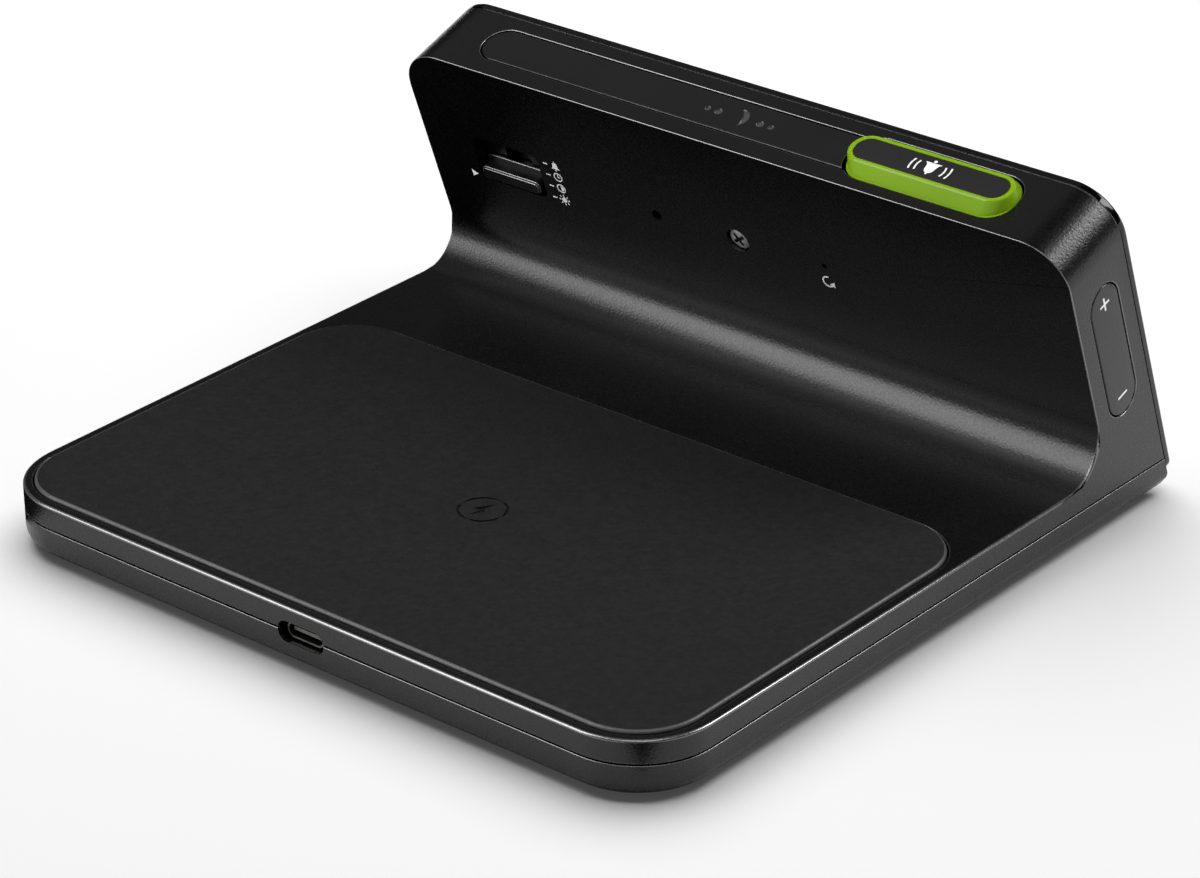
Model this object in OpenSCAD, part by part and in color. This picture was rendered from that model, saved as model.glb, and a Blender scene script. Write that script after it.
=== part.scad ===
// Digital alarm clock with a leaning display block and a charging base.
// The display faces -Y, the charging pad lies towards +Y, and +Z is up.
// The origin is at the middle of the footprint, on the surface that the feet stand on.

/* [Overall] */
// Width of the clock, left to right
clock_w = 160; // [150:1:190]
// Depth of the clock, from the foot of the display to the rear edge
clock_d = 156.7; // [150:0.1:180]
// Angle by which the display block leans back
lean = 19.76; // [14:0.02:24]
// Length of the display block along its slope, above the base
slab_len = 60.8; // [59:0.1:74]
// Thickness of the display block, lens and housing together
slab_t = 18.75; // [18.5:0.05:22]
// Thickness of the base
base_t = 11.6; // [11.4:0.1:15]

/* [Housing] */
// Radius of the two top corners of the display block
top_corner_r = 9.75; // [6:0.05:12]
// Radius of the two rear corners of the base, seen from above
rear_corner_r = 16; // [12:0.5:20]
// Radius of the rounded lower edge of the base
bottom_edge_r = 3.3; // [2.2:0.1:5]
// Radius of the hollow between the display block and the base
back_fillet_r = 8.5; // [4:0.1:12]
// Wall thickness at the sides, the top and the floor
wall = 2; // [1.6:0.1:2.2]
// Wall thickness behind the display block
rear_wall = 2.2; // [1.8:0.1:2.6]
// Thickness of the base's top, pad pocket included
ceiling_t = 3; // [2.6:0.1:3.4]
// Depth of the parting line below the top of the base
seam_drop = 4.6; // [4.2:0.1:5.2]
// Width of the open parting line
seam_gap = 0.4; // [0.2:0.05:0.6]
// Thickness of the lip behind the parting line
lip_t = 1; // [0.8:0.1:1.4]
// Height of the lip above the lower shell's edge
lip_h = 1.4; // [0.8:0.1:1.6]

/* [Front lens] */
// Thickness of the glossy lens
lens_t = 1.8; // [1.4:0.1:2.2]
// Radius of the lens's front edge
lens_edge_r = 0.9; // [0.4:0.1:1.2]
// Radius of the lens's two lower corners
lens_low_r = 2; // [1.4:0.1:4]
// How far the lens hangs below the top of the base, along the slope
lens_drop = 7.9; // [7:0.1:8.4]
// Width of the dark groove behind the lens
lens_groove = 0.3; // [0.2:0.05:0.5]

/* [Top keys] */
// Distance of the keys' centre line from the front of the lens
key_line = 10; // [9.6:0.05:10.4]
// Distance from each end of the clock to the snooze slot
snooze_inset = 16; // [12:0.5:20]
// Width of the snooze slot
snooze_w = 9.6; // [8:0.1:10]
// Travel of the snooze bar
snooze_travel = 0.5; // [0.3:0.05:0.7]
// Distance of the alarm button's centre from the end of the clock
alarm_inset = 34.7; // [34:0.1:38]
// Length of the alarm button at its foot
alarm_len = 37; // [34:0.5:39]
// Width of the alarm button at its foot
alarm_w = 11.4; // [10.4:0.1:11.6]
// Corner radius of the alarm button at its foot
alarm_corner_r = 4.8; // [3.4:0.1:5]
// Length of the alarm button at its rim
alarm_rim_len = 35; // [32:0.5:37]
// Width of the alarm button at its rim
alarm_rim_w = 6.4; // [6:0.1:8]
// How far the alarm button stands above the top face
alarm_rise = 2.3; // [1.6:0.1:3]
// Width of the inlay in the alarm button
inlay_w = 5.3; // [4.4:0.1:5.4]
// Travel of the alarm button
alarm_travel = 1; // [0.6:0.1:1]
// Gap round each key
key_gap = 0.3; // [0.2:0.05:0.45]

/* [Volume rocker] */
// Length of the rocker's slot
rocker_len = 31; // [28:0.1:32]
// Width of the rocker's slot
rocker_w = 9.2; // [8.6:0.1:10]
// Distance of the rocker's centre line from the front of the lens
rocker_line = 10.3; // [10:0.05:10.6]
// Height of the rocker's centre up the slope
rocker_mid = 30.6; // [28:0.1:31]
// Radius of the rocker's hinge pin
pin_r = 0.8; // [0.6:0.05:0.9]

/* [Rear controls] */
// Width of the slide switch's recess
recess_w = 17.5; // [16:0.1:18.5]
// Height of the slide switch's recess, along the slope
recess_h = 10.9; // [9.6:0.1:11]
// Depth of the slide switch's recess
recess_depth = 3.3; // [2.8:0.1:3.6]
// Distance of the middle of the slide switch's recess from the end of the clock
recess_inset = 21.7; // [21:0.1:24]
// Height of the recess's centre up the slope
recess_mid = 36.5; // [35:0.1:37.5]
// Length of the slider knob, across
slider_w = 15.4; // [14:0.1:15.8]
// Height of the slider knob, along the slope
slider_h = 3; // [2.2:0.1:3.2]
// Diameter of the hole for the housing screw's head
screw_head_d = 5.4; // [5:0.1:6]
// Height of the housing screw up the slope
screw_v = 36.85; // [36:0.05:38]
// Diameter of the sound hole
sound_hole_d = 2.4; // [1.6:0.1:3]
// Distance of the sound hole from the middle of the clock
sound_hole_x = 20.2; // [18:0.1:23]
// Diameter of the reset pinhole
pinhole_d = 1.2; // [1:0.1:1.6]
// Distance of the reset pinhole from the middle of the clock
pinhole_x = 21.1; // [20:0.1:22]
// Travel of the reset plunger
reset_travel = 0.25; // [0.15:0.05:0.3]

/* [Charging pad] */
// Distance from the pad to the side edges of the base
pad_side = 2.4; // [2.4:0.05:10]
// Depth of the pad
pad_d = 93.2; // [80:0.1:94]
// Radius of the pad's corners
pad_corner_r = 13.2; // [8:0.1:16]
// Thickness of the pad
pad_t = 2; // [1.6:0.1:2.4]
// How far the pad stands above the base
pad_rise = 0.6; // [0.3:0.1:0.8]
// Radius of the pad's upper edge
pad_edge_r = 0.6; // [0.3:0.1:1]
// Gap round the pad
pad_gap = 0.4; // [0.2:0.05:0.6]
// Distance from the pad to the rear edge of the base
pad_margin = 2.35; // [2.35:0.05:5]
// Outer diameter of the charging coil
coil_d = 43; // [36:1:50]
// Inner diameter of the charging coil
coil_bore_d = 20; // [14:1:24]
// Thickness of the charging coil
coil_t = 1.4; // [1:0.1:1.6]
// Side of the square ferrite sheet
ferrite_side = 50; // [44:1:60]
// Thickness of the ferrite sheet
ferrite_t = 0.6; // [0.4:0.1:0.8]

/* [Display] */
// Height of a digit
digit_h = 32; // [26:0.5:34]
// Width of a digit
digit_w = 18; // [14:0.5:19]
// Width of a digit's segment
segment_w = 3.4; // [2.4:0.1:4]
// Height of the digits' centre line up the slope
digit_mid = 27.5; // [26:0.1:28]
// Distance from digit to digit within a pair
digit_pitch = 23.5; // [21:0.5:25]
// Diameter of a colon dot
colon_d = 3; // [2:0.1:3]

/* [Power socket] */
// Width of the port in the housing
port_w = 11.1; // [10.4:0.1:12]
// Height of the port in the housing
port_h = 4.2; // [4:0.1:4.6]
// Width of the socket's metal shell
socket_w = 8.9; // [8.4:0.1:9.6]
// Height of the socket's metal shell
socket_h = 3.2; // [3:0.1:3.4]

/* [Feet and fasteners] */
// Diameter of a rubber foot
foot_d = 12; // [10:0.5:14]
// How far a foot stands out below the base
foot_out = 0.9; // [0.6:0.1:1.5]
// Depth of a foot's seat in the base
foot_seat = 0.8; // [0.6:0.1:1]
// Thickness of a circuit board
board_t = 1.6; // [1:0.1:1.6]

/* [Hidden] */
$fn = 48;

// Cuts run past the faces they open by this much
overrun = 1;
// How much larger than its corner an arc is where it has to cross both faces cleanly
hair = 0.005;
// Play between pieces that are glued, screwed or slid together
fit = 0.1;
// Radial play of a pin or a screw in its hole
pin_play = 0.05;
// Radial play of a screw's shank where it only passes through, and of its head
through_play = 0.15;

// Heights of the base's main levels
base_top = foot_out + base_t;
seam_z = base_top - seam_drop;
lower_top = seam_z - seam_gap;
floor_z = foot_out + wall;
ceiling_z = base_top - ceiling_t;
half_w = clock_w / 2;
alarm_x = half_w - alarm_inset;
recess_x = half_w - recess_inset;
snooze_len = clock_w - 2 * snooze_inset;
rear_y = clock_d / 2;
// The lens's rounded foot is the foremost point, and it settles where the slope starts
front_reach = (lens_drop - lens_edge_r) * sin(lean) - lens_edge_r * cos(lean) + lens_edge_r;
slab_y = front_reach - clock_d / 2;
// Where the rear face of the display block would meet the top of the base
crease_y = slab_y + slab_t / cos(lean);
// How far down the slope the raw display block is drawn before it is cut at the parting line
slab_root = 2 * base_t;

// Inner faces of the display block, in its own frame
slab_back = slab_t - rear_wall;
slab_ceiling = slab_len - wall;
inner_half_w = half_w - wall;

// Front edge of the lower shell, just behind the lens's foot
lower_front = slab_y + lens_t * cos(lean) - lens_drop * sin(lean);
lens_play = 0.1;

// Depth of the dark groove behind the lens
groove_depth = 0.7;

// Top keys: their flanges, and the stems that reach into the switches
key_flange = 0.4;
key_flange_t = 0.8;
key_flange_gap = 0.1;
key_stem_r = 1.5;
key_stem_in = 0.5;
key_well_depth = 1.8;
key_switch_side = 6;
key_switch_h = 3.5;
key_clear = 0.3;
key_board_top = slab_ceiling - key_flange_gap - key_flange_t - alarm_travel - key_clear - key_switch_h;
key_board_play = 0.25;
key_board_front = key_line - key_switch_side / 2 - key_board_play;
snooze_r = snooze_w / 2;
key_stem_len = slab_ceiling - key_flange_gap - key_flange_t
    - (key_board_top + key_switch_h - key_stem_in);
snooze_stem_share = [0.31, -0.02];
snooze_edge_r = 0.3;
alarm_skirt = 0.4;
alarm_rim_r = alarm_rim_w / 2;
alarm_edge = 0.25;
inlay_r = inlay_w / 2;
inlay_t = 0.7;
inlay_sink = 0.05;
key_post_r = 2;
key_post_x = half_w - top_corner_r - key_post_r / 2;
key_post_shift = 2;
key_post_line = key_line + key_post_shift;

// Rocker, its hinge and its switches
rocker_r = rocker_w / 2;
rocker_t = 2.8;
rocker_gap = 0.3;
rocker_edge_r = 0.3;
rocker_axis_depth = 3.6;
rocker_barrel_r = 1.6;
rocker_ear_t = 1.2;
rocker_ear_w = 4.4;
rocker_ear_gap = 0.3;
rocker_nub_r = 1.3;
rocker_nub_share = 0.3;
rocker_axis_x = half_w - rocker_axis_depth;
side_switch_h = 3;
side_switch_side = 6;
side_well_depth = 1.6;
side_well_play = 0.35;
side_switch_gap = 1.8;
side_switch_top = rocker_axis_x - side_switch_gap;
side_nub_in = 0.4;
side_board_x = side_switch_top - side_switch_h;
side_board_len = rocker_len + wall;
side_board_back = slab_back - fit;
side_board_front = rocker_line - side_switch_side / 2 - board_t;
side_clip_w = 3;
side_clip_depth = 2.2;
side_clip_wall = 1.6;

// Rear controls
recess_corner_r = 1.8;
recess_floor_t = 1;
recess_side_t = 1.2;
slider_gap = 0.2;
slider_proud = 0.15;
slider_corner_r = 1.3;
slider_edge_r = 0.3;
slider_shift = 0.65;
shield_rise = 1.3;
shield_t = 0.6;
slider_travel = recess_h - slider_h - 2 * slider_gap;
slider_stem_w = 6;
slider_stem_h = 1.6;
slider_slot_play = 0.3;
slider_low = recess_mid - recess_h / 2 + slider_gap;
recess_floor_u = slab_t - recess_depth;
control_board_gap = 3.95;
control_board_u = slab_back - control_board_gap;
slide_switch_h = recess_floor_u - recess_floor_t - control_board_u - slider_gap;
slide_switch_w = 12;
slide_switch_wall = 1.2;
slide_lever_in = 1;
control_board_left = 30;
control_board_below = 12.5;
control_board_above = 6.2;
control_board_low = screw_v - control_board_below;
control_board_high = screw_v + control_board_above;
control_board_right = recess_x + recess_w / 2 + recess_side_t;
control_post_r = 2;
control_post_inset = 3;
control_post_share = 0.4672;
control_post_x = sound_hole_x + (recess_x - sound_hole_x) * control_post_share;
sound_hole_drop = 0.3;
sound_hole_v = screw_v - sound_hole_drop;
pinhole_rise = 0.8;
pinhole_v = screw_v + pinhole_rise;
buzzer_r = 4.5;
buzzer_h = slab_back - control_board_u - fit;
reset_body_w = 6;
reset_body_h = 3.6;
reset_body_t = 2.4;
reset_plunger_r = 0.9;
reset_plunger_len = 1.6;
reset_plunger_in = 0.6;
reset_clear = 0.35;

// Display stack behind the lens
mask_t = 1.2;
block_t = 5;
block_side = 7;
block_top = 5;
segment_depth = 1.8;
segment_gap = 0.35;
frame_play = 0.4;
frame_foot = 2;
display_board_u = lens_t + block_t;
display_board_side = 16;
display_board_half = half_w - display_board_side;
display_board_low = 4;
display_board_gap = 2.4;
display_board_high = key_board_top - board_t - display_board_gap;
display_post_r = 2.5;
display_post_inset = 3;
display_led_h = 0.6;
display_led_w = 1.6;
display_led_d = 0.8;
colon_half = 7;
colon_rise = 5;
frame_post_r = 2.75;
frame_post_play = 0.4;

// Housing screw at the rear
rear_head_h = 1.7;
rear_head_sink = 0.3;
rear_shank_r = 1.3;
rear_shank_len = 8;
rear_boss_t = 1.6;
rear_boss_r = 4.2;
cross_len = 2.9;
cross_w = 0.7;
cross_depth = 0.9;

// Small screws that hold the boards
board_head_r = 1.9;
board_head_h = 1.3;
board_shank_r = 1;
board_shank_len = 4.2;
board_pilot_len = 2.8;

// Screws that join the two shells, and the bosses they run in
case_head_r = 2.7;
case_head_h = 1.8;
case_shank_r = 1.45;
case_counter_r = 3.2;
case_counter_depth = 3;
case_boss_r = 4.6;
case_pilot_len = 2.7;
case_upper_r = 3.5;
case_split_z = seam_z - seam_gap / 2;
case_inset_x = 14;
case_inset_rear = 9.5;
case_inset_front = 15;
case_screw_x = half_w - case_inset_x;
case_screw_rear = rear_y - case_inset_rear;
case_screw_front = crease_y + case_inset_front;

// Feet
foot_inset_x = 18;
foot_inset_front = 17;
foot_inset_rear = 26;
foot_edge_r = 0.5;
foot_play = 0.15;

// Charging parts
pad_w = clock_w - 2 * pad_side;
pad_rear_y = rear_y - pad_margin;
pad_mid_y = pad_rear_y - pad_d / 2;
charging_board_w = 76;
charging_board_d = 33;
charging_board_inset = 4.4;
charging_board_rear = rear_y - charging_board_inset;
charging_post_r = 2.5;
charging_post_inset = 4;
port_z = base_top - seam_drop - seam_gap;
socket_len = 7.3;
socket_sink = 1.4;
socket_wall = 0.35;
socket_floor_t = 1.2;
tongue_w = 6.6;
tongue_t = 0.7;
tongue_sink = 0.6;
charging_board_z = port_z - socket_h / 2 - board_t;

// Flat cable from the base to the control board
cable_w = 12;
cable_t = 0.7;
cable_x = -12;
cable_gap = 1.1;
cable_u = control_board_u - board_t - cable_gap;
cable_bend_r = 5;
cable_bend_steps = 16;
link_w = 14;
link_l = 5;
link_t = 1.4;
cable_z = charging_board_z + board_t + link_t / 2;
link_front_y = charging_board_rear - charging_board_d;

// Posts that carry the display board, in the display block's frame
display_post_x = display_board_half - display_post_inset;
display_post_v = [display_board_low + display_post_inset, display_board_high - display_post_inset];
// Posts that carry the control board
control_posts = [
    [control_post_inset - control_board_left, control_board_low + control_post_inset],
    [control_post_inset - control_board_left, control_board_high - control_post_inset],
    [control_post_x, control_board_low + control_post_inset],
    [control_post_x, control_board_high - control_post_inset]
];
// Posts that carry the charging board
charging_post_x = charging_board_w / 2 - charging_post_inset;
charging_post_y = [
    charging_board_rear - charging_post_inset,
    charging_board_rear - charging_board_d + charging_post_inset
];
// Centres of the two rocker switches, measured from the rocker's centre
rocker_nubs = [-rocker_len * rocker_nub_share, rocker_len * rocker_nub_share];
// Middle lines of a digit's strokes
stroke_x = (digit_w - segment_w) / 2;
stroke_y = (digit_h - segment_w) / 2;
digit_places = [
    -colon_half - digit_w / 2 - digit_pitch,
    -colon_half - digit_w / 2,
    colon_half + digit_w / 2,
    colon_half + digit_w / 2 + digit_pitch
];

// Colours
shell_colour = "#1d1d1f";
board_colour = "#1f5a36";
steel_colour = "#9a9da1";
switch_colour = "#2a2a2c";

// Helpers

// Places children in the display block's own frame: x across, y through it, z up the slope
module on_slab() {
    translate([0, slab_y, base_top]) rotate([-lean, 0, 0]) children();
}

// Stands a side-view profile (depth, height) up and stretches it across the clock
module across(x0, x1) {
    translate([x0, 0, 0]) rotate([90, 0, 90]) linear_extrude(x1 - x0) children();
}

// Stands a front-view profile (width, height) up and stretches it through the depth
module through(y0, y1) {
    translate([0, y1, 0]) rotate([90, 0, 0]) linear_extrude(y1 - y0) children();
}

// A rod along the display block's thickness, from depth u0 to depth u1
module rod_u(x, v, u0, u1, r) {
    translate([x, u1, v]) rotate([90, 0, 0]) cylinder(h = u1 - u0, r = r);
}

// What is cut off a corner to round it, with the origin at the middle of the arc. The arc can
// meet both faces at a slight angle, by being larger than the corner by a hair.
module corner_cut(r, hair = 0) {
    difference() {
        square(r + overrun);
        circle(r + hair);
    }
}

// Rectangle whose two upper corners are round
module arch(half, low, high, r) {
    difference() {
        translate([-half, low]) square([2 * half, high - low]);
        for (side = [0, 1]) mirror([side, 0]) translate([half - r, high - r]) corner_cut(r);
    }
}

// Rectangle with four round corners, centred
module round_rect(w, h, r) {
    square([w, h - 2 * r], center = true);
    square([w - 2 * r, h], center = true);
    for (sx = [-1, 1], sy = [-1, 1]) {
        translate([sx * (w / 2 - r), sy * (h / 2 - r)]) circle(r);
    }
}

// Slot outline with half-round ends, lying along x
module stadium(len, r) {
    square([len - 2 * r, 2 * r], center = true);
    for (side = [-1, 1]) translate([side * (len / 2 - r), 0]) circle(r);
}

// Half profile of a plate, with its outer upper edge rounded
module edge_profile(len, t, r) {
    difference() {
        square([len, t]);
        translate([len - r, t - r]) corner_cut(r);
    }
}

// Half profile of a wall, with its outer lower edge rounded
module toe_profile(len, t, r) {
    translate([0, t]) mirror([0, 1]) edge_profile(len, t, r);
}

// Sweeps a half profile (radius, height) round a slot outline of the given length
module pill(len, r) {
    for (side = [-1, 1]) {
        translate([side * (len / 2 - r), 0, 0]) rotate([0, 0, -90 * side])
            rotate_extrude(angle = 180) children();
    }
    across(r - len / 2, len / 2 - r) {
        children();
        mirror([1, 0]) children();
    }
}

// Plate with two corner radii and a rounded front edge: x across, y up, z out
module soft_plate(w, h, low_r, high_r, t, edge_r) {
    translate([0, low_r, 0]) rotate([-90, 0, 0]) mirror([0, 1, 0])
        linear_extrude(h - low_r - high_r) {
            edge_profile(w / 2, t, edge_r);
            mirror([1, 0]) edge_profile(w / 2, t, edge_r);
        }
    translate([0, h - high_r, 0]) across(high_r - w / 2, w / 2 - high_r)
        edge_profile(high_r, t, edge_r);
    translate([0, low_r, 0]) mirror([0, 1, 0]) across(low_r - w / 2, w / 2 - low_r)
        edge_profile(low_r, t, edge_r);
    for (side = [0, 1]) mirror([side, 0, 0]) {
        translate([w / 2 - high_r, h - high_r, 0])
            rotate_extrude(angle = 90) edge_profile(high_r, t, edge_r);
        translate([w / 2 - low_r, low_r, 0]) mirror([0, 1, 0])
            rotate_extrude(angle = 90) edge_profile(low_r, t, edge_r);
    }
}

// Screw with its head above the origin and its shank below
module screw(head_r, head_h, shank_r, shank_len) {
    cylinder(h = head_h, r = head_r);
    translate([0, 0, -shank_len]) cylinder(h = shank_len + head_h / 2, r = shank_r);
}

// Tactile switch: a square body whose well takes the key's stem
module tact_switch(side, height, well_r, well_depth) {
    difference() {
        translate([-side / 2, -side / 2, 0]) cube([side, side, height]);
        translate([0, 0, height - well_depth]) cylinder(h = well_depth + overrun, r = well_r);
    }
}

// Places that several pieces share

module at_display_posts() {
    for (side = [-1, 1], v = display_post_v) translate([side * display_post_x, 0, v]) children();
}

module at_charging_posts() {
    for (side = [-1, 1], y = charging_post_y) translate([side * charging_post_x, y, 0]) children();
}

module at_case_screws() {
    for (side = [-1, 1], y = [case_screw_front, case_screw_rear]) {
        translate([side * case_screw_x, y, 0]) children();
    }
}

module at_feet() {
    for (side = [-1, 1], y = [foot_inset_front - rear_y, rear_y - foot_inset_rear]) {
        translate([side * (half_w - foot_inset_x), y, 0]) children();
    }
}

// Outline of the alarm button, grown by an amount, and of the snooze slot
module alarm_outline(grow) {
    translate([-alarm_x, key_line])
        round_rect(alarm_len + 2 * grow, alarm_w + 2 * grow, alarm_corner_r + grow);
}

module snooze_outline(grow) {
    translate([0, key_line]) stadium(snooze_len + 2 * grow, snooze_r + grow);
}

// Places children on the rocker's face: x up the slope, y towards the rear, z outwards
module on_rocker() {
    on_slab() translate([-half_w, rocker_line, rocker_mid]) rotate([0, -90, 0]) children();
}

// Upper shell

// Display block behind the lens, shrunk by an inset, between two depths
module slab_block(u0, u1, inset) {
    on_slab() through(u0, u1)
        arch(half_w - inset, -slab_root, slab_len - inset, top_corner_r - inset);
}

// Side view of the wedge that rounds the corner between the display block and the base.
// It reaches into both of them.
module back_fillet() {
    run = back_fillet_r / tan((90 - lean) / 2);
    difference() {
        polygon([
            [crease_y - overrun, base_top - overrun],
            [crease_y + run, base_top - overrun],
            [crease_y + run, base_top + back_fillet_r],
            [
                crease_y + run * sin(lean) - overrun * cos(lean),
                base_top + run * cos(lean) + overrun * sin(lean)
            ]
        ]);
        translate([crease_y + run, base_top + back_fillet_r]) circle(back_fillet_r + hair);
    }
}

// Side-view point of the display block at depth u and height v
function slab_point(u, v) =
    [slab_y + u * cos(lean) + v * sin(lean), base_top - u * sin(lean) + v * cos(lean)];

// Height v at which the plane at depth u reaches a level
function slab_height(u, z) = (z - base_top + u * sin(lean)) / cos(lean);

// Upper shell's block, shrunk by an inset: the display block between two depths, and the base
// between two levels. Children add to its side view. All its corners are cut round at the end.
module shell_form(inset, u0, u1, z0, z1) {
    half = half_w - inset;
    top = slab_len - inset;
    rear = rear_y - inset;
    high_r = top_corner_r - inset;
    rear_r = rear_corner_r - inset;
    difference() {
        across(-half, half) {
            polygon([
                slab_point(u0, slab_height(u0, z0)), slab_point(u1, slab_height(u1, z0)),
                slab_point(u1, top), slab_point(u0, top)
            ]);
            translate([slab_point((u0 + u1) / 2, 0)[0], z0])
                square([rear - slab_point((u0 + u1) / 2, 0)[0], z1 - z0]);
            children();
        }
        on_slab() through(u0 - overrun, u1 + overrun) for (side = [0, 1]) mirror([side, 0])
            translate([half - high_r, top - high_r]) corner_cut(high_r, hair);
        translate([0, 0, z0 - overrun]) linear_extrude(z1 - z0 + 2 * overrun)
            for (side = [0, 1]) mirror([side, 0])
            translate([half - rear_r, rear - rear_r]) corner_cut(rear_r, hair);
    }
}

module upper_skin() {
    shell_form(0, lens_t, slab_t, seam_z, base_top) back_fillet();
}

module upper_cavity() {
    shell_form(wall, lens_t - overrun, slab_back, seam_z - overrun, ceiling_z);
}

module lens_groove_cut() {
    difference() {
        slab_block(lens_t - overrun, lens_t + lens_groove, -overrun);
        slab_block(lens_t - 2 * overrun, lens_t + 2 * lens_groove, groove_depth);
    }
}

// Posts, ears, clips and the recess box that grow inwards from the housing
module upper_posts() {
    on_slab() {
        at_display_posts() rod_u(0, 0, display_board_u + board_t, slab_back + fit, display_post_r);
        for (p = control_posts) rod_u(p[0], p[1], control_board_u, slab_back + fit, control_post_r);
        rod_u(0, screw_v, slab_back - rear_boss_t, slab_back + fit, rear_boss_r);
        for (side = [-1, 1]) translate([side * key_post_x, key_post_line, key_board_top])
            cylinder(h = slab_ceiling + fit - key_board_top, r = key_post_r);
        through(recess_floor_u - recess_floor_t, slab_back + fit)
            pocket_outline(recess_side_t);
    }
    rocker_ears();
    side_clips();
    at_case_screws() translate([0, 0, case_split_z])
        cylinder(h = ceiling_z + fit - case_split_z, r = case_upper_r);
}

// Ears that hold the rocker's hinge pin, beside its slot
module rocker_ears() {
    ear_x = half_w - wall / 2;
    ear_end = rocker_axis_x - rocker_barrel_r;
    gap = rocker_r + key_gap;
    on_slab() for (u = [rocker_line - gap - rocker_ear_t, rocker_line + gap]) {
        translate([-ear_x, u, rocker_mid - rocker_ear_w / 2])
            cube([ear_x - ear_end, rocker_ear_t, rocker_ear_w]);
    }
}

// Grooved clips that hold the side board's rear edge
module side_clips() {
    clip_w = board_t + 2 * side_clip_wall;
    end = side_board_len / 2 - side_clip_w;
    on_slab() for (v = [rocker_mid - end - side_clip_w, rocker_mid + end]) {
        difference() {
            translate([-side_board_x - side_clip_wall, slab_back - side_clip_depth, v])
                cube([clip_w, side_clip_depth + fit, side_clip_w]);
            translate([-side_board_x - pin_play, slab_back - side_clip_depth - overrun, v - overrun])
                cube([
                    board_t + 2 * pin_play,
                    side_clip_depth + overrun - fit + pin_play,
                    side_clip_w + 2 * overrun
                ]);
        }
    }
}

module upper_cuts() {
    lens_groove_cut();
    on_slab() {
        translate([0, 0, slab_ceiling - overrun]) linear_extrude(wall + 2 * overrun) {
            snooze_outline(0);
            alarm_outline(key_gap);
        }
        translate([recess_x, 0, recess_mid]) through(slab_back - fit, slab_t + overrun)
            round_rect(recess_w, recess_h, recess_corner_r);
        through(recess_floor_u, slab_back) pocket_outline(0);
        slider_slot();
        rod_u(0, screw_v, slab_t - rear_head_h - rear_head_sink, slab_t + overrun, screw_head_d / 2);
        rod_u(0, screw_v, slab_back - rear_boss_t - overrun, slab_t, rear_shank_r + through_play);
        rod_u(sound_hole_x, sound_hole_v, slab_back - overrun, slab_t + overrun, sound_hole_d / 2);
        rod_u(-pinhole_x, pinhole_v, slab_back - overrun, slab_t + overrun, pinhole_d / 2);
        at_display_posts() rod_u(0, 0, display_board_u, display_board_u + board_t + board_pilot_len,
            board_shank_r + pin_play);
        for (p = control_posts) rod_u(p[0], p[1], control_board_u - board_t,
            control_board_u + board_pilot_len, board_shank_r + pin_play);
        for (side = [-1, 1]) translate([side * key_post_x, key_post_line, key_board_top - overrun])
            cylinder(h = board_pilot_len + overrun, r = board_shank_r + pin_play);
        translate([-rocker_axis_x, slab_back - fit, rocker_mid]) rotate([90, 0, 0])
            cylinder(h = slab_back, r = pin_r + pin_play);
    }
    on_rocker() translate([0, 0, -wall - overrun]) linear_extrude(wall + 2 * overrun)
        stadium(rocker_len, rocker_r);
    translate([0, pad_mid_y, base_top + pad_rise - pad_t]) linear_extrude(pad_t)
        round_rect(pad_w + 2 * pad_gap, pad_d + 2 * pad_gap, pad_corner_r + pad_gap);
    port_cut();
    at_case_screws() translate([0, 0, case_split_z - overrun])
        cylinder(h = case_pilot_len + overrun, r = case_shank_r + pin_play);
}

// Pocket behind the recess, taller by what the slider's shield needs, grown by an amount
module pocket_outline(grow) {
    extra = shield_rise + slider_gap;
    translate([recess_x, recess_mid + extra / 2])
        round_rect(recess_w + 2 * grow, recess_h + extra + 2 * grow, recess_corner_r + grow);
}

// Slot in the pocket's floor for the slider's stem
module slider_slot() {
    slot_h = slider_travel + slider_stem_h + 2 * slider_slot_play;
    slot_mid = slider_low + (slider_travel + slider_h) / 2;
    translate([recess_x, 0, slot_mid])
        through(recess_floor_u - recess_floor_t - overrun, recess_floor_u + overrun)
        square([slider_stem_w + 2 * slider_slot_play, slot_h], center = true);
}

// Port through the rear edge of both shells
module port_cut() {
    translate([0, 0, port_z]) through(rear_y - wall - lip_t - 2 * overrun, rear_y + overrun)
        stadium(port_w, port_h / 2);
}

module upper_shell() {
    color(shell_colour) difference() {
        union() {
            difference() {
                upper_skin();
                upper_cavity();
            }
            upper_posts();
        }
        upper_cuts();
    }
}

// Lower shell

// Lower half of the base, shrunk by an inset, from its own floor up to a level
module lower_form(inset, top) {
    half = half_w - inset;
    low = foot_out + inset;
    front = lower_front + inset;
    rear = rear_y - inset;
    corner = rear_corner_r - inset;
    toe = bottom_edge_r - inset;
    mid = rear - corner;
    intersection() {
        translate([0, mid, low]) mirror([0, 1, 0]) across(-half, half)
            toe_profile(mid - front, top - low, toe);
        translate([0, 0, low]) through(front, mid) {
            toe_profile(half, top - low, toe);
            mirror([1, 0]) toe_profile(half, top - low, toe);
        }
    }
    translate([0, mid, low]) across(corner - half, half - corner)
        toe_profile(corner, top - low, toe);
    for (side = [0, 1]) mirror([side, 0, 0]) translate([half - corner, mid, low])
        rotate_extrude(angle = 90) toe_profile(corner, top - low, toe);
}

// Lip inside the parting line, along the sides and the rear of the base
module seam_lip() {
    start = slab_y;
    outer = wall + fit;
    translate([0, 0, lower_top]) linear_extrude(lip_h) difference() {
        arch(half_w - outer, start, rear_y - outer, rear_corner_r - outer);
        arch(half_w - outer - lip_t, start - overrun, rear_y - outer - lip_t,
            rear_corner_r - outer - lip_t);
    }
    translate([0, 0, lower_top - lip_h]) linear_extrude(lip_h) difference() {
        arch(half_w - wall + fit, start, rear_y - wall + fit, rear_corner_r - wall + fit);
        arch(half_w - outer - lip_t, start - overrun, rear_y - outer - lip_t,
            rear_corner_r - outer - lip_t);
    }
}

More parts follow.
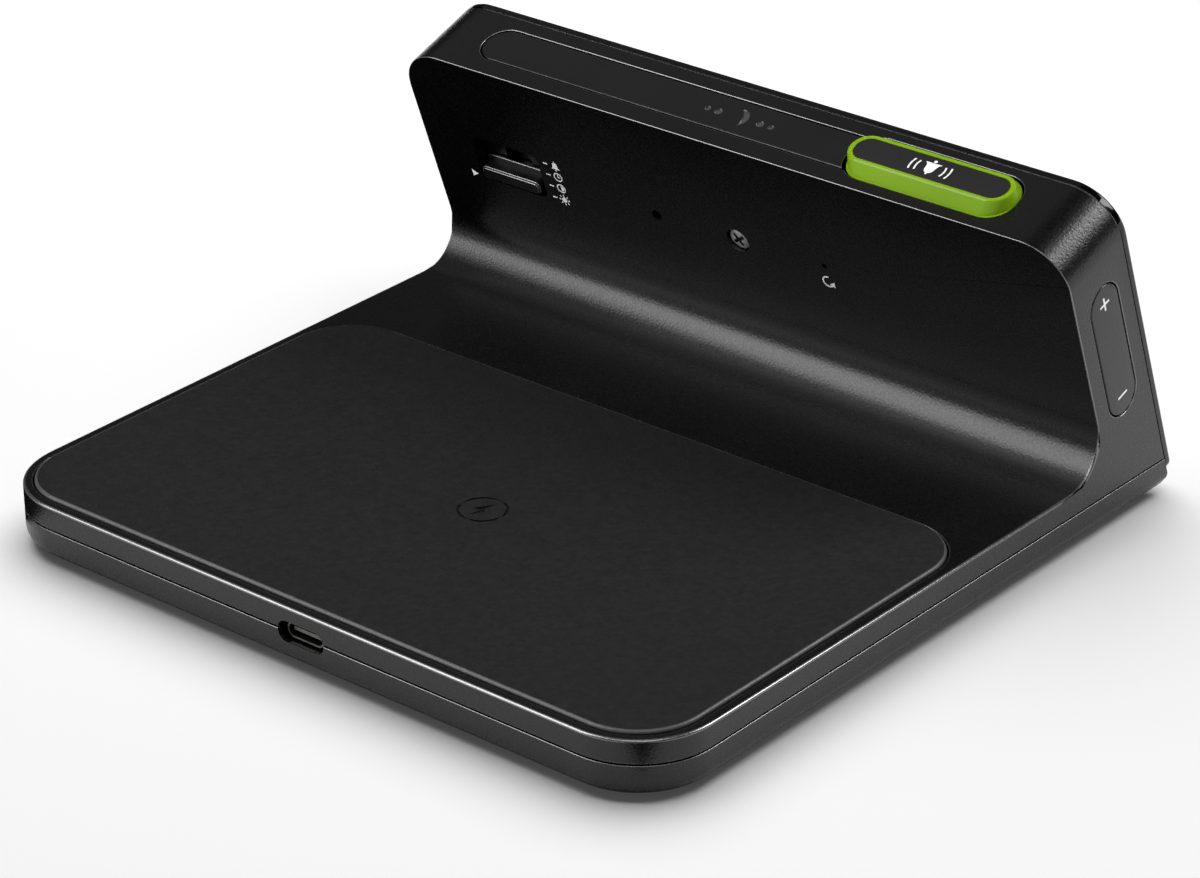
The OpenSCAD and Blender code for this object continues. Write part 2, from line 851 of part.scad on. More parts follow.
module lower_shell() {
    color(shell_colour) difference() {
        union() {
            difference() {
                lower_form(0, lower_top);
                lower_form(wall, lower_top + overrun);
            }
            seam_lip();
            at_case_screws() translate([0, 0, floor_z - fit])
                cylinder(h = case_split_z - floor_z + fit, r = case_boss_r);
            at_charging_posts() translate([0, 0, floor_z - fit])
                cylinder(h = charging_board_z - floor_z + fit, r = charging_post_r);
        }
        slab_block(-slab_t, lens_t + lens_play, -overrun);
        port_cut();
        translate([-socket_w / 2 - fit, charging_board_rear - socket_len, port_z - socket_h / 2 - fit])
            cube([
                socket_w + 2 * fit,
                rear_y - socket_sink + fit - charging_board_rear + socket_len,
                socket_h
            ]);
        at_feet() cylinder(h = foot_out + foot_seat, r = foot_d / 2 + foot_play);
        at_case_screws() {
            cylinder(h = foot_out + case_counter_depth, r = case_counter_r);
            cylinder(h = base_top, r = case_shank_r + through_play);
        }
        at_charging_posts() translate([0, 0, charging_board_z - board_pilot_len])
            cylinder(h = board_pilot_len + overrun, r = board_shank_r + pin_play);
    }
}

// Display

module front_lens() {
    color("#08080a") on_slab() translate([0, lens_t, -lens_drop]) rotate([90, 0, 0])
        soft_plate(clock_w, slab_len + lens_drop, lens_low_r, top_corner_r, lens_t, lens_edge_r);
}

// One segment lying along x
module segment(len, w) {
    polygon([
        [-len / 2, 0], [(w - len) / 2, w / 2], [(len - w) / 2, w / 2],
        [len / 2, 0], [(len - w) / 2, -w / 2], [(w - len) / 2, -w / 2]
    ]);
}

// Centres of a digit's seven segments, with 90 for the upright ones
function segment_places() = [
    [0, stroke_y, 0], [0, 0, 0], [0, -stroke_y, 0],
    [-stroke_x, stroke_y / 2, 90], [stroke_x, stroke_y / 2, 90],
    [-stroke_x, -stroke_y / 2, 90], [stroke_x, -stroke_y / 2, 90]
];

// All strokes and the colon, as outlines grown by an amount
module digit_outlines(grow) {
    for (x = digit_places, p = segment_places()) {
        len = (p[2] == 0 ? 2 * stroke_x : stroke_y) - 2 * segment_gap;
        translate([x + p[0], digit_mid + p[1]]) rotate(p[2])
            segment(len + 2 * grow, segment_w - 2 * segment_gap + 2 * grow);
    }
    for (rise = [-colon_rise, colon_rise]) {
        translate([0, digit_mid + rise]) circle(colon_d / 2 + grow);
    }
}

// Mask behind the lens, with the light wells and the post for the housing screw
module display_frame() {
    block_half = digit_places[3] + digit_w / 2 + block_side;
    block_h = digit_h + 2 * block_top;
    color("#121214") on_slab() difference() {
        union() {
            through(lens_t, lens_t + mask_t)
                arch(inner_half_w - frame_play, -frame_foot, slab_ceiling - frame_play,
                    top_corner_r - wall - frame_play);
            translate([-block_half, lens_t, digit_mid - block_h / 2])
                cube([2 * block_half, block_t, block_h]);
            rod_u(0, screw_v, display_board_u - fit, slab_back - rear_boss_t, frame_post_r);
        }
        through(lens_t - overrun, display_board_u + fit) digit_outlines(pin_play);
        rod_u(0, screw_v, slab_back - rear_boss_t - rear_shank_len, slab_back,
            rear_shank_r + pin_play);
    }
}

module digit_segments() {
    color("#dfe6ea") on_slab() through(lens_t, lens_t + segment_depth) digit_outlines(0);
}

module display_leds() {
    low = display_board_u - display_led_h;
    color("#e8e2c0") on_slab() {
        for (x = digit_places, p = segment_places()) {
            translate([x + p[0] - display_led_d, low, digit_mid + p[1] - display_led_d / 2])
                cube([display_led_w, display_led_h, display_led_d]);
        }
        for (rise = [-colon_rise, colon_rise]) {
            translate([-display_led_d, low, digit_mid + rise - display_led_d / 2])
                cube([display_led_w, display_led_h, display_led_d]);
        }
    }
}

module display_board() {
    color(board_colour) on_slab() difference() {
        translate([-display_board_half, display_board_u, display_board_low])
            cube([2 * display_board_half, board_t, display_board_high - display_board_low]);
        at_display_posts() rod_u(0, 0, display_board_u - overrun, display_board_u + board_t + overrun,
            board_shank_r + fit);
        rod_u(0, screw_v, display_board_u - overrun, display_board_u + board_t + overrun,
            frame_post_r + frame_post_play);
    }
}

// Keys on top of the display block

module snooze_bar() {
    low = slab_ceiling - key_flange_gap - key_flange_t;
    color("#202022") on_slab() {
        difference() {
            translate([0, key_line, low]) union() {
                pill(snooze_len - 2 * key_gap, snooze_r - key_gap)
                    edge_profile(snooze_r - key_gap, slab_len - low, snooze_edge_r);
                linear_extrude(key_flange_t)
                    stadium(snooze_len + 2 * key_flange, snooze_r + key_flange);
            }
            translate([0, 0, low - overrun]) linear_extrude(slab_len - low + 2 * overrun)
                alarm_outline(2 * key_gap);
            translate([0, 0, low - overrun])
                linear_extrude(key_flange_t + snooze_travel + key_clear + overrun)
                alarm_outline(key_gap + key_flange + key_gap);
        }
        for (share = snooze_stem_share) {
            translate([snooze_len * share, key_line, low - key_stem_len])
                cylinder(h = key_stem_len, r = key_stem_r);
        }
    }
}

// Body of the alarm button: a straight foot that draws in to a slot-shaped rim
module alarm_body(depth) {
    top = depth + alarm_rise;
    hull() {
        linear_extrude(depth + alarm_skirt)
            round_rect(alarm_len, alarm_w, alarm_corner_r);
        linear_extrude(top - alarm_edge) stadium(alarm_rim_len, alarm_rim_r);
        linear_extrude(top) stadium(alarm_rim_len - 2 * alarm_edge, alarm_rim_r - alarm_edge);
    }
}

module alarm_button() {
    low = slab_ceiling - key_flange_gap - key_flange_t;
    depth = slab_len - low;
    flange = 2 * (key_gap + key_flange);
    color("#8cc814") on_slab() translate([-alarm_x, key_line, low]) {
        difference() {
            union() {
                alarm_body(depth);
                linear_extrude(key_flange_t)
                    round_rect(alarm_len + flange, alarm_w + flange, alarm_corner_r + flange / 2);
            }
            translate([0, 0, depth + alarm_rise - inlay_t]) linear_extrude(inlay_t + overrun)
                stadium(alarm_rim_len - 2 * (alarm_rim_r - inlay_r), inlay_r);
        }
        translate([0, 0, -key_stem_len]) cylinder(h = key_stem_len + fit, r = key_stem_r);
    }
}

module alarm_inlay() {
    r = inlay_r - pin_play;
    color("#2b2b2e") on_slab()
        translate([-alarm_x, key_line, slab_len + alarm_rise - inlay_t])
        pill(alarm_rim_len - 2 * (alarm_rim_r - r), r)
        edge_profile(r, inlay_t - inlay_sink, inlay_sink);
}

// Strip board under the top face
module key_board() {
    half = key_post_x + key_post_r;
    color(board_colour) on_slab() difference() {
        translate([-half, key_board_front, key_board_top - board_t])
            cube([2 * half, slab_back - key_board_play - key_board_front, board_t]);
        for (side = [-1, 1]) {
            translate([side * key_post_x, key_post_line, key_board_top - board_t - overrun])
                cylinder(h = board_t + 2 * overrun, r = board_shank_r + fit);
        }
    }
}

module key_switches() {
    places = [-alarm_x, snooze_len * snooze_stem_share[0], snooze_len * snooze_stem_share[1]];
    color(switch_colour) on_slab() for (x = places) translate([x, key_line, key_board_top])
        tact_switch(key_switch_side, key_switch_h, key_stem_r + key_gap, key_well_depth);
}

// Volume rocker on the side

module volume_rocker() {
    r = rocker_r - rocker_gap;
    barrel = 2 * (rocker_r + key_gap - rocker_ear_gap);
    nub_len = rocker_axis_x - rocker_t - side_switch_top + rocker_axis_depth + side_nub_in;
    color("#3a3a3c") difference() {
        union() {
            on_rocker() {
                translate([0, 0, -rocker_t]) pill(rocker_len - 2 * rocker_gap, r)
                    edge_profile(r, rocker_t, rocker_edge_r);
                for (place = rocker_nubs) {
                    translate([place, 0, -rocker_t - nub_len])
                        cylinder(h = nub_len, r = rocker_nub_r);
                }
            }
            on_slab() {
                rod_u(-rocker_axis_x, rocker_mid, rocker_line - barrel / 2, rocker_line + barrel / 2,
                    rocker_barrel_r);
                translate([rocker_t - half_w - fit, rocker_line - rocker_r / 2,
                    rocker_mid - rocker_barrel_r])
                    cube([rocker_axis_depth - rocker_t + fit, rocker_r, 2 * rocker_barrel_r]);
            }
        }
        on_slab() rod_u(-rocker_axis_x, rocker_mid, rocker_line - rocker_w, rocker_line + rocker_w,
            pin_r + pin_play);
    }
}

module rocker_pin() {
    half = rocker_r + key_gap + rocker_ear_t - 2 * fit;
    color(steel_colour) on_slab()
        rod_u(-rocker_axis_x, rocker_mid, rocker_line - half, rocker_line + half, pin_r);
}

module side_board() {
    color(board_colour) on_slab()
        translate([-side_board_x, side_board_front, rocker_mid - side_board_len / 2])
        cube([board_t, side_board_back - side_board_front, side_board_len]);
}

module side_switches() {
    color(switch_colour) on_rocker() for (place = rocker_nubs) {
        translate([place, 0, side_board_x - half_w])
            tact_switch(side_switch_side, side_switch_h, rocker_nub_r + side_well_play, side_well_depth);
    }
}

// Rear controls

// Knob with a stem into the switch and a shield plate that slides behind the wall
module mode_slider() {
    stem_len = recess_floor_t + slider_gap + slide_lever_in + fit;
    inner = recess_floor_u + slider_gap;
    outer = slab_t + slider_proud;
    color("#1b1b1d") on_slab()
        translate([recess_x + slider_shift, 0, slider_low + slider_h / 2]) {
            through(inner, outer - slider_edge_r) round_rect(slider_w, slider_h, slider_corner_r);
            through(outer - slider_edge_r - fit, outer)
                round_rect(slider_w - 2 * slider_edge_r, slider_h - 2 * slider_edge_r,
                    slider_corner_r - slider_edge_r);
            translate([0, 0, shield_rise / 2]) through(inner, inner + shield_t)
                round_rect(slider_w, slider_h + shield_rise, slider_corner_r);
            translate([-slider_shift - slider_stem_w / 2, inner - stem_len, -slider_stem_h / 2])
                cube([slider_stem_w, stem_len + fit, slider_stem_h]);
        }
}

module slide_switch() {
    len = slider_travel + slider_stem_h + 2 * slider_slot_play + 2 * slide_switch_wall;
    top = control_board_u + slide_switch_h;
    slot_mid = slider_low + (slider_travel + slider_h) / 2;
    depth = slide_lever_in + slider_gap + fit;
    color(steel_colour) on_slab() translate([recess_x, 0, slot_mid]) difference() {
        through(control_board_u, top) square([slide_switch_w, len], center = true);
        through(top - depth, top + overrun)
            square([slider_stem_w + 2 * slider_slot_play, len - 2 * slide_switch_wall],
                center = true);
    }
}

module control_board() {
    u0 = control_board_u - board_t;
    color(board_colour) on_slab() difference() {
        translate([-control_board_left, u0, control_board_low])
            cube([
                control_board_left + control_board_right,
                board_t,
                control_board_high - control_board_low
            ]);
        for (p = control_posts) rod_u(p[0], p[1], u0 - overrun, control_board_u + overrun,
            board_shank_r + fit);
        rod_u(0, screw_v, u0 - overrun, control_board_u + overrun, frame_post_r + frame_post_play);
    }
}

module reset_switch() {
    top = control_board_u + reset_body_t;
    color(switch_colour) on_slab() difference() {
        translate([-pinhole_x - reset_body_w / 2, control_board_u, pinhole_v - reset_body_h / 2])
            cube([reset_body_w, reset_body_t, reset_body_h]);
        rod_u(-pinhole_x, pinhole_v, top - reset_plunger_in - reset_travel - reset_clear,
            top + overrun, reset_plunger_r + pin_play);
    }
}

module reset_plunger() {
    top = control_board_u + reset_body_t;
    color("#b8babd") on_slab() rod_u(-pinhole_x, pinhole_v, top - reset_plunger_in,
        top - reset_plunger_in + reset_plunger_len, reset_plunger_r);
}

module buzzer() {
    color("#161618") on_slab() difference() {
        rod_u(sound_hole_x, sound_hole_v, control_board_u, control_board_u + buzzer_h, buzzer_r);
        rod_u(sound_hole_x, sound_hole_v, control_board_u + buzzer_h / 2,
            control_board_u + buzzer_h + overrun, sound_hole_d / 2);
    }
}

// Housing screw, head outwards, with a cross recess
module rear_screw() {
    seat = slab_t - rear_head_h - rear_head_sink;
    color(steel_colour) on_slab() translate([0, seat, screw_v]) rotate([-90, 0, 0]) difference() {
        screw(screw_head_d / 2 - through_play, rear_head_h, rear_shank_r, rear_shank_len);
        for (turn = [0, 90]) rotate(turn)
            translate([-cross_len / 2, -cross_w / 2, rear_head_h - cross_depth])
            cube([cross_len, cross_w, cross_depth + overrun]);
    }
}

module board_screw() {
    screw(board_head_r, board_head_h, board_shank_r, board_shank_len);
}

module board_screws() {
    color(steel_colour) {
        on_slab() {
            at_display_posts() translate([0, display_board_u, 0]) rotate([90, 0, 0]) board_screw();
            for (p = control_posts) {
                translate([p[0], control_board_u - board_t, p[1]]) rotate([90, 0, 0]) board_screw();
            }
            for (side = [-1, 1]) {
                translate([side * key_post_x, key_post_line, key_board_top - board_t])
                    rotate([180, 0, 0]) board_screw();
            }
        }
        at_charging_posts() translate([0, 0, charging_board_z + board_t]) board_screw();
    }
}

// Charging base

module charging_pad() {
    color("#262628") translate([0, pad_mid_y - pad_d / 2, base_top + pad_rise - pad_t])
        soft_plate(pad_w, pad_d, pad_corner_r, pad_corner_r, pad_t, pad_edge_r);
}

module charging_coil() {
    color("#b87333") translate([0, pad_mid_y, ceiling_z - coil_t]) difference() {
        cylinder(h = coil_t, r = coil_d / 2);
        translate([0, 0, -overrun]) cylinder(h = coil_t + 2 * overrun, r = coil_bore_d / 2);
    }
}

module ferrite_sheet() {
    color("#3b3b3f") translate([0, pad_mid_y, ceiling_z - coil_t - ferrite_t / 2])
        cube([ferrite_side, ferrite_side, ferrite_t], center = true);
}

module charging_board() {
    color(board_colour) difference() {
        translate([-charging_board_w / 2, charging_board_rear - charging_board_d, charging_board_z])
            cube([charging_board_w, charging_board_d, board_t]);
        at_charging_posts() translate([0, 0, charging_board_z - overrun])
            cylinder(h = board_t + 2 * overrun, r = board_shank_r + fit);
    }
}

// Socket with a metal shell, a floor at the back and a contact tongue
module power_socket() {
    mouth = rear_y - socket_sink;
    back = mouth - socket_len;
    color(steel_colour) translate([0, 0, port_z]) {
        difference() {
            through(back, mouth) stadium(socket_w, socket_h / 2);
            through(back + socket_floor_t, mouth + overrun)
                stadium(socket_w - 2 * socket_wall, socket_h / 2 - socket_wall);
        }
        through(back + socket_floor_t / 2, mouth - tongue_sink)
            square([tongue_w, tongue_t], center = true);
    }
}

// Flat cable: a run down the display block, one bend and a run along the base
module link_cable() {
    bend_z = cable_z + cable_bend_r;
    bend_y = slab_y + (cable_u + cable_bend_r + (bend_z - base_top) * sin(lean)) / cos(lean);
    run = control_board_low - (bend_y - slab_y) * sin(lean) - (bend_z - base_top) * cos(lean);
    slope = run * [sin(lean), cos(lean)];
    outer = cable_bend(bend_y, bend_z, cable_bend_r + cable_t / 2);
    inner = cable_bend(bend_y, bend_z, cable_bend_r - cable_t / 2);
    color("#c9c9c4") across(cable_x - cable_w / 2, cable_x + cable_w / 2) polygon(concat(
        [outer[0] + slope], outer, [[link_front_y, cable_z - cable_t / 2]],
        [[link_front_y, cable_z + cable_t / 2]], reverse(inner), [inner[0] + slope]
    ));
}

// Points of a bend from the display block's slope down to the level
function cable_bend(y, z, r) = [
    for (i = [0:cable_bend_steps]) let (turn = 180 - lean + (90 + lean) * i / cable_bend_steps)
        [y + r * cos(turn), z + r * sin(turn)]
];

function reverse(list) = [for (i = [len(list) - 1:-1:0]) list[i]];

// Connector that the cable's end is held in, open on the side that the cable enters
module link_socket() {
    difference() {
        cube([link_w, link_l, link_t]);
        translate([(link_w - cable_w) / 2 - pin_play, -overrun, (link_t - cable_t) / 2 - pin_play])
            cube([cable_w + 2 * pin_play, overrun, cable_t + 2 * pin_play]);
    }
}

module link_sockets() {
    color("#e4e1d6") {
        translate([cable_x - link_w / 2, link_front_y, charging_board_z + board_t]) link_socket();
        on_slab() translate([cable_x - link_w / 2, control_board_u - board_t, control_board_low])
            rotate([90, 0, 0]) link_socket();
    }
}

module case_screws() {
    color(steel_colour) at_case_screws()
        translate([0, 0, foot_out + case_counter_depth]) rotate([180, 0, 0])
        screw(case_head_r, case_head_h, case_shank_r,
            case_split_z + case_pilot_len - foot_out - case_counter_depth - fit);
}

module rubber_feet() {
    color("#0e0e0f") at_feet() translate([0, 0, foot_out + foot_seat]) mirror([0, 0, 1])
        rotate_extrude() edge_profile(foot_d / 2, foot_out + foot_seat, foot_edge_r);
}

upper_shell();
lower_shell();
front_lens();
display_frame();
digit_segments();
display_leds();
display_board();
snooze_bar();
alarm_button();
alarm_inlay();
key_board();
key_switches();
volume_rocker();
rocker_pin();
side_board();
side_switches();
mode_slider();
slide_switch();
control_board();
reset_switch();
reset_plunger();
buzzer();
rear_screw();
board_screws();
charging_pad();
charging_coil();
ferrite_sheet();
charging_board();
power_socket();
link_sockets();
link_cable();
case_screws();
rubber_feet();
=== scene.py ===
# Digital alarm clock: finishes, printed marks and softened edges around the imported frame
import math

import bmesh
import bpy
from mathutils import Matrix, Vector
from mathutils.bvhtree import BVHTree


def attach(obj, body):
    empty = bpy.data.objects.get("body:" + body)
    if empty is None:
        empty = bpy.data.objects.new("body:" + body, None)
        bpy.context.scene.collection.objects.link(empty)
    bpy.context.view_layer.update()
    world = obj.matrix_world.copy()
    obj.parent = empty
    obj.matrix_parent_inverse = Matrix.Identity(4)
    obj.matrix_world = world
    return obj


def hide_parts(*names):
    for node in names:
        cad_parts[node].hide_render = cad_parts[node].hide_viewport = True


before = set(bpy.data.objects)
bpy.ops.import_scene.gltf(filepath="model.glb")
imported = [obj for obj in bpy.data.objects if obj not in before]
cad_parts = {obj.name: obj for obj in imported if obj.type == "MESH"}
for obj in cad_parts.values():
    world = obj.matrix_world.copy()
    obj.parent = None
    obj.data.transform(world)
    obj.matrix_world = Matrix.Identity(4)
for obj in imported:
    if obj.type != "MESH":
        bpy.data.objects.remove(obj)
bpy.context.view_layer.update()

MM = 0.001

# Sizes shared with the frame
HALF_W = 80 * MM
LEAN = math.radians(19.76)
SLAB_LEN = 60.8 * MM
SLAB_T = 18.75 * MM
SLAB_Y = -75.9304 * MM
BASE_TOP = 12.5 * MM
PAD_MID_Y = 29.4 * MM
PAD_TOP = 13.1 * MM
KEY_LINE = 10 * MM
ALARM_X = -45.3 * MM
ALARM_RISE = 2.3 * MM
INLAY_SINK = 0.05 * MM
SEAM_Z = 7.9 * MM
SEAM_GAP = 0.4 * MM
ROCKER_LINE = 10.3 * MM
COIL_DROP = 3 * MM
COIL_PITCH = 0.45 * MM

# The display block's own frame: x across, y through it from the lens, z up the slope
SLAB = Matrix.Translation((0, SLAB_Y, BASE_TOP)) @ Matrix.Rotation(-LEAN, 4, "X")

# Camera, placed as the photograph was taken
CAMERA_PLACE = Vector((-472.81, 557.74, 384.47)) * MM
CAMERA_HEADING = math.radians(-139.921)
CAMERA_TILT = math.radians(-26.744)
CAMERA_ROLL = math.radians(-0.474)
FOCAL_SHARE = 4360.1 / 1200
SENSOR_W = 36
CLIP_NEAR = 0.05
CLIP_FAR = 20


def make_camera():
    data = bpy.data.cameras.new("camera")
    data.sensor_width = SENSOR_W
    data.lens = SENSOR_W * FOCAL_SHARE
    data.clip_start = CLIP_NEAR
    data.clip_end = CLIP_FAR
    camera = bpy.data.objects.new("camera", data)
    turn = Matrix.Rotation(CAMERA_HEADING, 4, "Z")
    tilt = Matrix.Rotation(math.pi / 2 + CAMERA_TILT, 4, "X")
    roll = Matrix.Rotation(CAMERA_ROLL, 4, "Z")
    camera.matrix_world = Matrix.Translation(CAMERA_PLACE) @ turn @ tilt @ roll
    bpy.context.collection.objects.link(camera)
    bpy.context.scene.camera = camera


# Nodes of a material or a world

# The part of a noise's 0 to 1 in which nearly all of it lies
NOISE_LOW = 0.3
NOISE_HIGH = 0.7
COAT_ROUGH = 0.08
# Circuit traces: cells to a metre, and where the line between two cells ends
TRACE_CELLS = 260.0
TRACE_SOLID = 0.04
TRACE_END = 0.07


def add_node(tree, kind, **settings):
    """A node whose settings are its own attributes or, with _ for a space, its inputs."""
    node = tree.nodes.new(kind)
    for key, value in settings.items():
        if hasattr(node, key):
            setattr(node, key, value)
        else:
            node.inputs[key.replace("_", " ")].default_value = value
    return node


def new_material(name):
    """An empty node material: returns it, its tree and its shader."""
    material = bpy.data.materials.new(name)
    material.use_nodes = True
    tree = material.node_tree
    tree.nodes.clear()
    shader = tree.nodes.new("ShaderNodeBsdfPrincipled")
    output = tree.nodes.new("ShaderNodeOutputMaterial")
    tree.links.new(shader.outputs[0], output.inputs[0])
    return material, tree, shader


def grain(tree, scale, detail=2.0, stretch=(1, 1, 1)):
    """A fine noise on object coordinates, with features of about one over the scale, in metres."""
    place = tree.nodes.new("ShaderNodeTexCoord")
    mapping = add_node(tree, "ShaderNodeMapping", Scale=stretch)
    noise = add_node(tree, "ShaderNodeTexNoise", Scale=scale, Detail=detail)
    tree.links.new(place.outputs["Object"], mapping.inputs["Vector"])
    tree.links.new(mapping.outputs[0], noise.inputs["Vector"])
    return noise.outputs["Fac"]


def spread(tree, value, low, high):
    """Maps a noise to a range."""
    ramp = add_node(tree, "ShaderNodeMapRange", From_Min=NOISE_LOW, From_Max=NOISE_HIGH,
                    To_Min=low, To_Max=high)
    tree.links.new(value, ramp.inputs["Value"])
    return ramp.outputs[0]


def two_tone(tree, value, dark, light):
    """Goes from a dark colour to a light one as a noise rises."""
    mix = tree.nodes.new("ShaderNodeMix")
    mix.data_type = "RGBA"
    mix.inputs["A"].default_value = (*dark, 1)
    mix.inputs["B"].default_value = (*light, 1)
    tree.links.new(spread(tree, value, 0, 1), mix.inputs["Factor"])
    return mix.outputs["Result"]


def bumped(tree, shader, value, depth, strength=1.0):
    """Gives a shader the relief of a noise, of a depth in metres."""
    bump = add_node(tree, "ShaderNodeBump", Strength=strength, Distance=depth)
    tree.links.new(value, bump.inputs["Height"])
    tree.links.new(bump.outputs[0], shader.inputs["Normal"])


def moulded_plastic(name, dark, light, rough, grain_scale, grain_depth, specular=0.5, coat=0.0,
                    ior=1.5, clouds=45):
    """Moulded plastic with the fine grain of its mould, and slow clouds of two near colours."""
    material, tree, shader = new_material(name)
    fine = grain(tree, grain_scale)
    cloudy = grain(tree, clouds)
    tree.links.new(two_tone(tree, cloudy, dark, light), shader.inputs["Base Color"])
    tree.links.new(spread(tree, fine, rough[0], rough[1]), shader.inputs["Roughness"])
    bumped(tree, shader, fine, grain_depth)
    shader.inputs["Specular IOR Level"].default_value = specular
    shader.inputs["IOR"].default_value = ior
    shader.inputs["Coat Weight"].default_value = coat
    shader.inputs["Coat Roughness"].default_value = COAT_ROUGH
    return material


def polished_metal(name, colour, dull, rough, scratch_scale, stretch=(1, 1, 1)):
    """Plated or bare metal with fine wear."""
    material, tree, shader = new_material(name)
    lines = grain(tree, scratch_scale, 3.0, stretch)
    tree.links.new(two_tone(tree, lines, dull, colour), shader.inputs["Base Color"])
    tree.links.new(spread(tree, lines, rough[0], rough[1]), shader.inputs["Roughness"])
    bumped(tree, shader, lines, 0.02 * MM, strength=0.4)
    shader.inputs["Metallic"].default_value = 1.0
    return material


def smoked_lens(name):
    """Glossy, darkly tinted clear plastic."""
    material, tree, shader = new_material(name)
    waves = grain(tree, 30)
    tree.links.new(spread(tree, waves, 0.015, 0.03), shader.inputs["Roughness"])
    tree.links.new(two_tone(tree, waves, (0.060, 0.060, 0.062), (0.072, 0.072, 0.075)),
                   shader.inputs["Base Color"])
    shader.inputs["Transmission Weight"].default_value = 1.0
    shader.inputs["IOR"].default_value = 1.49
    return material


def lit_diffuser(name, colour, strength):
    """Milky plastic with a lamp behind it."""
    material, tree, shader = new_material(name)
    haze = grain(tree, 500)
    tree.links.new(two_tone(tree, haze, [0.92 * c for c in colour], colour),
                   shader.inputs["Emission Color"])
    tree.links.new(spread(tree, haze, 0.4, 0.5), shader.inputs["Roughness"])
    shader.inputs["Base Color"].default_value = (0.8, 0.82, 0.84, 1)
    shader.inputs["Emission Strength"].default_value = strength
    return material


def wound_copper(name, centre, pitch):
    """Enamelled wire wound flat, seen as fine rings about a centre, a pitch apart."""
    material, tree, shader = new_material(name)
    place = tree.nodes.new("ShaderNodeTexCoord")
    mapping = add_node(tree, "ShaderNodeMapping", Location=[-c for c in centre])
    # A ring of this texture is pi / 10 wide at a scale of 1
    rings = add_node(tree, "ShaderNodeTexWave", wave_type="RINGS", rings_direction="Z",
                     Scale=math.pi / (10 * pitch), Distortion=0.0)
    tree.links.new(place.outputs["Object"], mapping.inputs["Vector"])
    tree.links.new(mapping.outputs[0], rings.inputs["Vector"])
    tree.links.new(two_tone(tree, rings.outputs["Fac"], (0.25, 0.09, 0.03), (0.72, 0.36, 0.17)),
                   shader.inputs["Base Color"])
    bumped(tree, shader, rings.outputs["Fac"], 0.1 * MM, strength=0.8)
    shader.inputs["Metallic"].default_value = 1.0
    shader.inputs["Roughness"].default_value = 0.28
    return material


def circuit_board(name):
    """Green solder mask, with fine traces as raised lighter lines."""
    material, tree, shader = new_material(name)
    place = tree.nodes.new("ShaderNodeTexCoord")
    cells = add_node(tree, "ShaderNodeTexVoronoi", feature="DISTANCE_TO_EDGE", Scale=TRACE_CELLS)
    tree.links.new(place.outputs["Object"], cells.inputs["Vector"])
    line = add_node(tree, "ShaderNodeMapRange", From_Min=TRACE_SOLID, From_Max=TRACE_END,
                    To_Min=1.0, To_Max=0.0)
    tree.links.new(cells.outputs["Distance"], line.inputs["Value"])
    tree.links.new(two_tone(tree, line.outputs[0], (0.012, 0.085, 0.03), (0.03, 0.17, 0.06)),
                   shader.inputs["Base Color"])
    bumped(tree, shader, line.outputs[0], 0.03 * MM, strength=0.6)
    shader.inputs["Roughness"].default_value = 0.3
    return material


# Finishes: two near colours, roughness range, grains to a metre, and a plastic's grain depth
BLACK = moulded_plastic("housing_black", (0.0008, 0.0008, 0.0009), (0.0020, 0.0020, 0.0021),
                        (0.24, 0.33), 2200, 0.045 * MM)
# A lighter, glossier black for rounded edges and groove walls: a painted highlight along them
EDGE_HIGHLIGHT = moulded_plastic("painted_edge_highlight", (0.020, 0.020, 0.020), (0.034, 0.034, 0.035),
                             (0.24, 0.32), 1600, 0.01 * MM, specular=1.0, ior=1.9)
KEY_BLACK = moulded_plastic("key_black", (0.0030, 0.0030, 0.0031), (0.0052, 0.0052, 0.0054),
                            (0.28, 0.36), 2200, 0.045 * MM)
ROCKER_GREY = moulded_plastic("rocker_grey", (0.0024, 0.0024, 0.0026), (0.0044, 0.0044, 0.0047),
                              (0.28, 0.36), 2200, 0.045 * MM)
PAD_SOFT = moulded_plastic("pad_soft", (0.0054, 0.0054, 0.0054), (0.0112, 0.0112, 0.0112),
                           (0.66, 0.82), 1700, 0.16 * MM, specular=0.25, clouds=800)
# The pad's rim in a paler grey: a painted highlight along its rounded edge
PAD_EDGE_HIGHLIGHT = moulded_plastic("pad_edge_painted_highlight", (0.046, 0.046, 0.046), (0.060, 0.060, 0.060),
                           (0.42, 0.52), 2400, 0.05 * MM, specular=0.6)
LIME = moulded_plastic("lime_gloss", (0.185, 0.340, 0.003), (0.210, 0.385, 0.004),
                       (0.28, 0.31), 900, 0.001 * MM, specular=0.18, coat=0.22)
INLAY_GREY = moulded_plastic("inlay_grey", (0.009, 0.009, 0.0095), (0.012, 0.012, 0.0125),
                             (0.38, 0.48), 2600, 0.02 * MM)
INNER_BLACK = moulded_plastic("inner_black", (0.010, 0.010, 0.010), (0.014, 0.014, 0.014),
                              (0.5, 0.6), 1800, 0.03 * MM)
SWITCH_BLACK = moulded_plastic("switch_black", (0.02, 0.02, 0.02), (0.03, 0.03, 0.03),
                               (0.4, 0.5), 1800, 0.02 * MM)
IVORY = moulded_plastic("ivory", (0.66, 0.63, 0.55), (0.72, 0.70, 0.62),
                        (0.4, 0.5), 1500, 0.01 * MM)
CABLE_GREY = moulded_plastic("cable_grey", (0.55, 0.55, 0.53), (0.62, 0.62, 0.60),
                             (0.4, 0.5), 1500, 0.01 * MM)
FOOT_BLACK = moulded_plastic("foot_rubber", (0.008, 0.008, 0.008), (0.012, 0.012, 0.012),
                             (0.7, 0.85), 1500, 0.05 * MM, specular=0.3)
PRINT_WHITE = moulded_plastic("print_white", (0.84, 0.84, 0.84), (0.90, 0.90, 0.90),
                              (0.45, 0.6), 4000, 0.003 * MM)
FERRITE_GREY = moulded_plastic("ferrite_grey", (0.035, 0.035, 0.038), (0.05, 0.05, 0.055),
                               (0.6, 0.75), 900, 0.03 * MM)
LAMP_YELLOW = moulded_plastic("lamp_yellow", (0.80, 0.72, 0.30), (0.85, 0.78, 0.40),
                              (0.25, 0.35), 1500, 0.005 * MM)
